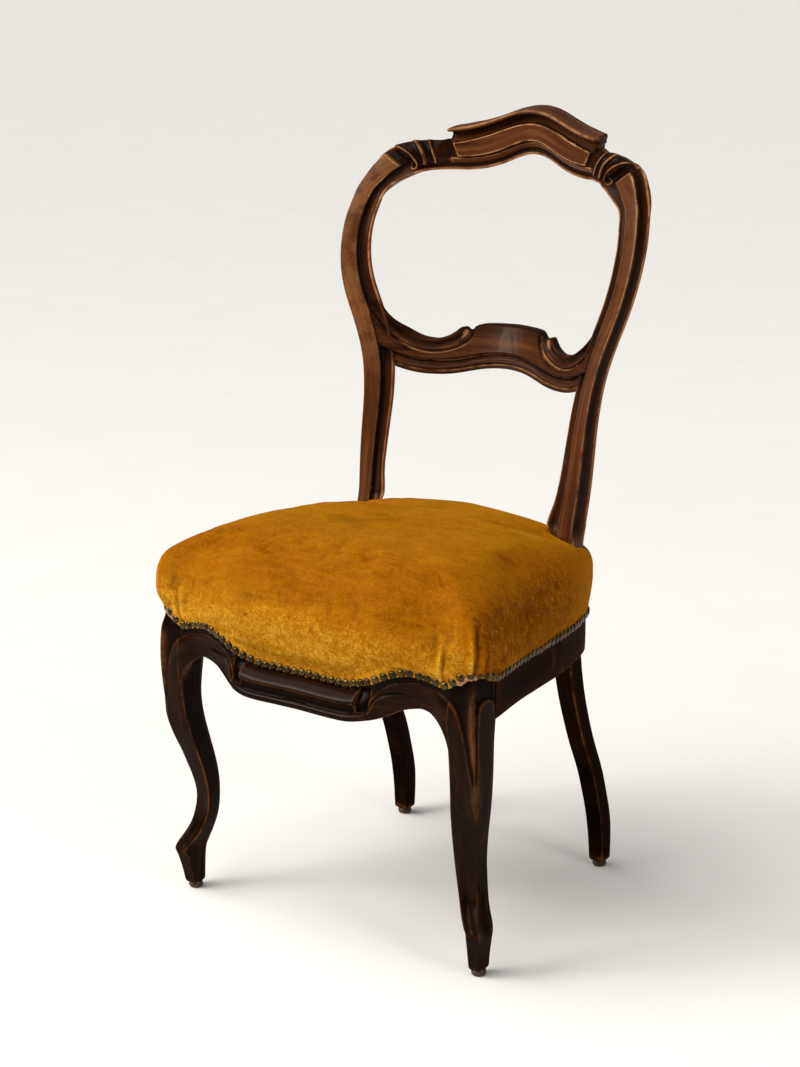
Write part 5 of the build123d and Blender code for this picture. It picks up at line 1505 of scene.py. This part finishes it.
def strap(name, axis, centre, a0, a1, z_mid, cross, phase, node):
    """Flat woven strap that goes over and under its neighbours."""
    n = max(40, int((a1 - a0) / 4))
    a = np.linspace(a0, a1, n)
    w = np.linspace(-25, 25, 13)
    lift = np.zeros(n)
    for k, c in enumerate(cross):
        lift += (0.0 if (k + phase) % 2 == 0 else -1.9 if axis == "y" else 1.9) * ss(38, 28, np.abs(a - c))
    edge_wob = 0.35 * np.sin(a / 17.0 + centre) + 0.2 * np.sin(a / 7.0)
    top, bot = [], []
    for i in range(n):
        ww = w + (edge_wob[i] if i % 2 == 0 else edge_wob[i] * 0.8) * np.sign(w) * (np.abs(w) > 24)
        zz = z_mid + lift[i] + 0.0 * ww
        pos = np.stack([ww + centre, np.full(13, a[i])], -1) if axis == "y" else np.stack([np.full(13, a[i]), ww + centre], -1)
        fall = np.where(np.abs(w) > 22, 0.25, 0.0)
        top.append(np.concatenate([pos, (zz + WEB_T / 2 - fall)[:, None]], 1))
        bot.append(np.concatenate([pos, (zz - WEB_T / 2 + fall)[:, None]], 1))
    p = np.concatenate([np.array(top), np.array(bot)[:, ::-1]], 1)
    bld = Builder()
    bld.grid(p, None, close=True, cap0=True, cap1=True)
    o = bld.make(name, JUTE, [node], sharp=60)
    return o


for k, x in enumerate((-66, 0, 66)):
    strap("web_long_%d" % (k + 1), "y", x, -226, 97, 295.05, (-148, -76, -4), k, "webbing_lengthwise")
for k, (y, hw) in enumerate(((-148, 198), (-76, 186), (-4, 176))):
    strap("web_cross_%d" % (k + 1), "x", y, -hw, hw, 293.15, (-66, 0, 66), k, "webbing_crosswise")

# Spring canvas: pressed down between the springs, up over them.
nA, nB = 160, 40
ang_s = np.linspace(-HALF, HALF, nA, endpoint=False)
cb, _ = outline_at(ang_s)
edge = SEAT_C + (cb - SEAT_C) * (222.0 - 47.0) / 222.0
fr = np.concatenate([np.linspace(1.0, 0.06, nB)])
lay = []
for f in fr:
    q = SEAT_C + (edge - SEAT_C) * f
    bul = np.zeros(nA)
    for sx, sy in ((-74, -148), (74, -148), (-74, -4), (74, -4), (0, -76)):
        bul += 1.0 * np.exp(-(np.hypot(q[:, 0] - sx, q[:, 1] - sy) / 40.0) ** 2)
    lay.append(np.concatenate([q, (413.2 + 1.2 * bul + 0.4 * wob(np.concatenate([q, q[:, :1] * 0], 1), 60, 31))[:, None]], 1))
lay = np.array(lay)
up = lay.copy()
up[..., 2] += 1.0
bld = Builder()
bld.grid(np.concatenate([up[::-1], lay]), None, close=True, cap0=True, cap1=True)
canvas = bld.make("canvas_sheet", HESSIAN, ["spring_canvas"], sharp=60)

# Hair pad: lumpy ring that the springs and canvas push up into.
outer_r, _ = outline_at(ang_s, 9.0)
rings = []
for f, z in ((1.0, 352.5), (0.995, 365), (0.99, 385), (0.985, 400), (0.95, 412), (0.88, 425), (0.78, 434), (0.6, 441), (0.4, 445), (0.2, 447)):
    q = SEAT_C + (outer_r - SEAT_C) * f
    rings.append(np.concatenate([q, np.full((nA, 1), z)], 1))
under = []
for f, z in ((1.0, 351.4), (0.94, 351.0), (0.88, 351.6), (0.83, 354.0), (0.805, 362), (0.80, 385), (0.80, 412.0), (0.796, 417.5), (0.7, 418.5), (0.4, 419), (0.15, 419)):
    q = SEAT_C + (outer_r - SEAT_C) * f
    under.append(np.concatenate([q, np.full((nA, 1), z)], 1))
hp = np.array(under[::-1] + rings)
hp = hp + (0.9 * wob(hp, 26.0, 41))[..., None] * np.array([0.6, 0.6, 0.5])
bld = Builder()
bld.grid(hp, None, close=True, cap0=True, cap1=True)
hair = bld.make("hair_pad", HAIR, ["hair_stuffing"], sharp=70)

# ------------------------------------------------------------------ pieces kept from the frame
KEEP = {"corner_block_front_right": BEECH, "corner_block_front_left": BEECH, "corner_block_rear_right": BEECH,
        "corner_block_rear_left": BEECH, "corner_block_screws": STEEL, "rail_dowels": BEECH,
        "webbing_tacks": TACK, "seat_springs": STEEL}
for node, mat in KEEP.items():
    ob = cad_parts[node]
    ob.data.materials.clear()
    ob.data.materials.append(mat)

# ------------------------------------------------------------------ floor, light and camera
me = bpy.data.meshes.new("floor")
N_F = 96
ring = [(30 * math.cos(2 * math.pi * k / N_F), 30 * math.sin(2 * math.pi * k / N_F), 0.0) for k in range(N_F)]
me.from_pydata(ring, [], [list(range(N_F))])
floor = bpy.data.objects.new("floor", me)
bpy.context.scene.collection.objects.link(floor)
k = Mat("floor")
pos = k.n("TexCoord").outputs["Object"]
k.put("Base Color", k.ramp(k.noise(pos, 6.0, 4.0, 0.6), [(0.3, (0.80, 0.785, 0.76, 1)), (0.7, (0.82, 0.805, 0.78, 1))]))
k.put("Roughness", 0.9)
me.materials.append(k.m)

world = bpy.data.worlds.new("soft")
bpy.context.scene.world = world
world.use_nodes = True
bg = world.node_tree.nodes.get("Background") or world.node_tree.nodes.new("ShaderNodeBackground")
wout = world.node_tree.nodes.get("World Output") or world.node_tree.nodes.new("ShaderNodeOutputWorld")
bg.inputs[0].default_value = (1.0, 0.985, 0.96, 1)
bg.inputs[1].default_value = 0.2
# Past the edge of the floor the camera sees a pale studio wall.
pale = world.node_tree.nodes.new("ShaderNodeBackground")
pale.inputs[0].default_value = (0.847, 0.818, 0.778, 1)
pale.inputs[1].default_value = 1.0
path = world.node_tree.nodes.new("ShaderNodeLightPath")
pick = world.node_tree.nodes.new("ShaderNodeMixShader")
world.node_tree.links.new(path.outputs["Is Camera Ray"], pick.inputs[0])
world.node_tree.links.new(bg.outputs[0], pick.inputs[1])
world.node_tree.links.new(pale.outputs[0], pick.inputs[2])
world.node_tree.links.new(pick.outputs[0], wout.inputs[0])


def area(name, loc, target, size, power, color=(1, 1, 1)):
    d = bpy.data.lights.new(name, "AREA")
    d.shape = "RECTANGLE"
    d.size, d.size_y = size
    d.energy = power
    d.color = color
    o = bpy.data.objects.new(name, d)
    o.location = loc
    o.rotation_mode = "QUATERNION"
    o.rotation_quaternion = (Vector(target) - Vector(loc)).to_track_quat("-Z", "Y")
    bpy.context.scene.collection.objects.link(o)
    return o


area("key", (-2.2, -2.6, 2.5), (0, 0, 0.5), (1.6, 1.3), 74, (1.0, 0.985, 0.95))
area("right", (3.0, -0.6, 1.9), (0, 0, 0.5), (1.0, 1.6), 23, (1.0, 0.99, 0.97))
sun = bpy.data.lights.new("sky_soft", "SUN")
sun.energy = 3.3
sun.angle = math.radians(70)
sun.color = (1.0, 0.985, 0.96)
so = bpy.data.objects.new("sky_soft", sun)
so.rotation_euler = (math.radians(28), math.radians(-26), 0)
bpy.context.scene.collection.objects.link(so)

cam = bpy.data.cameras.new("camera")
cam.lens = 80.996
cam.sensor_width = 36.0
cam.sensor_fit = "AUTO"
cam.clip_start, cam.clip_end = 0.05, 200.0
co = bpy.data.objects.new("camera", cam)
az, pitch = math.radians(36.535), math.radians(14.812)
fwd = Vector((-math.sin(az) * math.cos(pitch), math.cos(az) * math.cos(pitch), -math.sin(pitch)))
right = Vector((math.cos(az), math.sin(az), 0.0))
upv = right.cross(fwd)
rot = Matrix((right, upv, -fwd)).transposed()
co.matrix_world = Matrix.Translation((1.5832, -2.1962 + Y_SHIFT / 1000.0, 1.1445)) @ rot.to_4x4()
bpy.context.scene.collection.objects.link(co)
bpy.context.scene.camera = co
bpy.context.scene.view_settings.view_transform = "Standard"
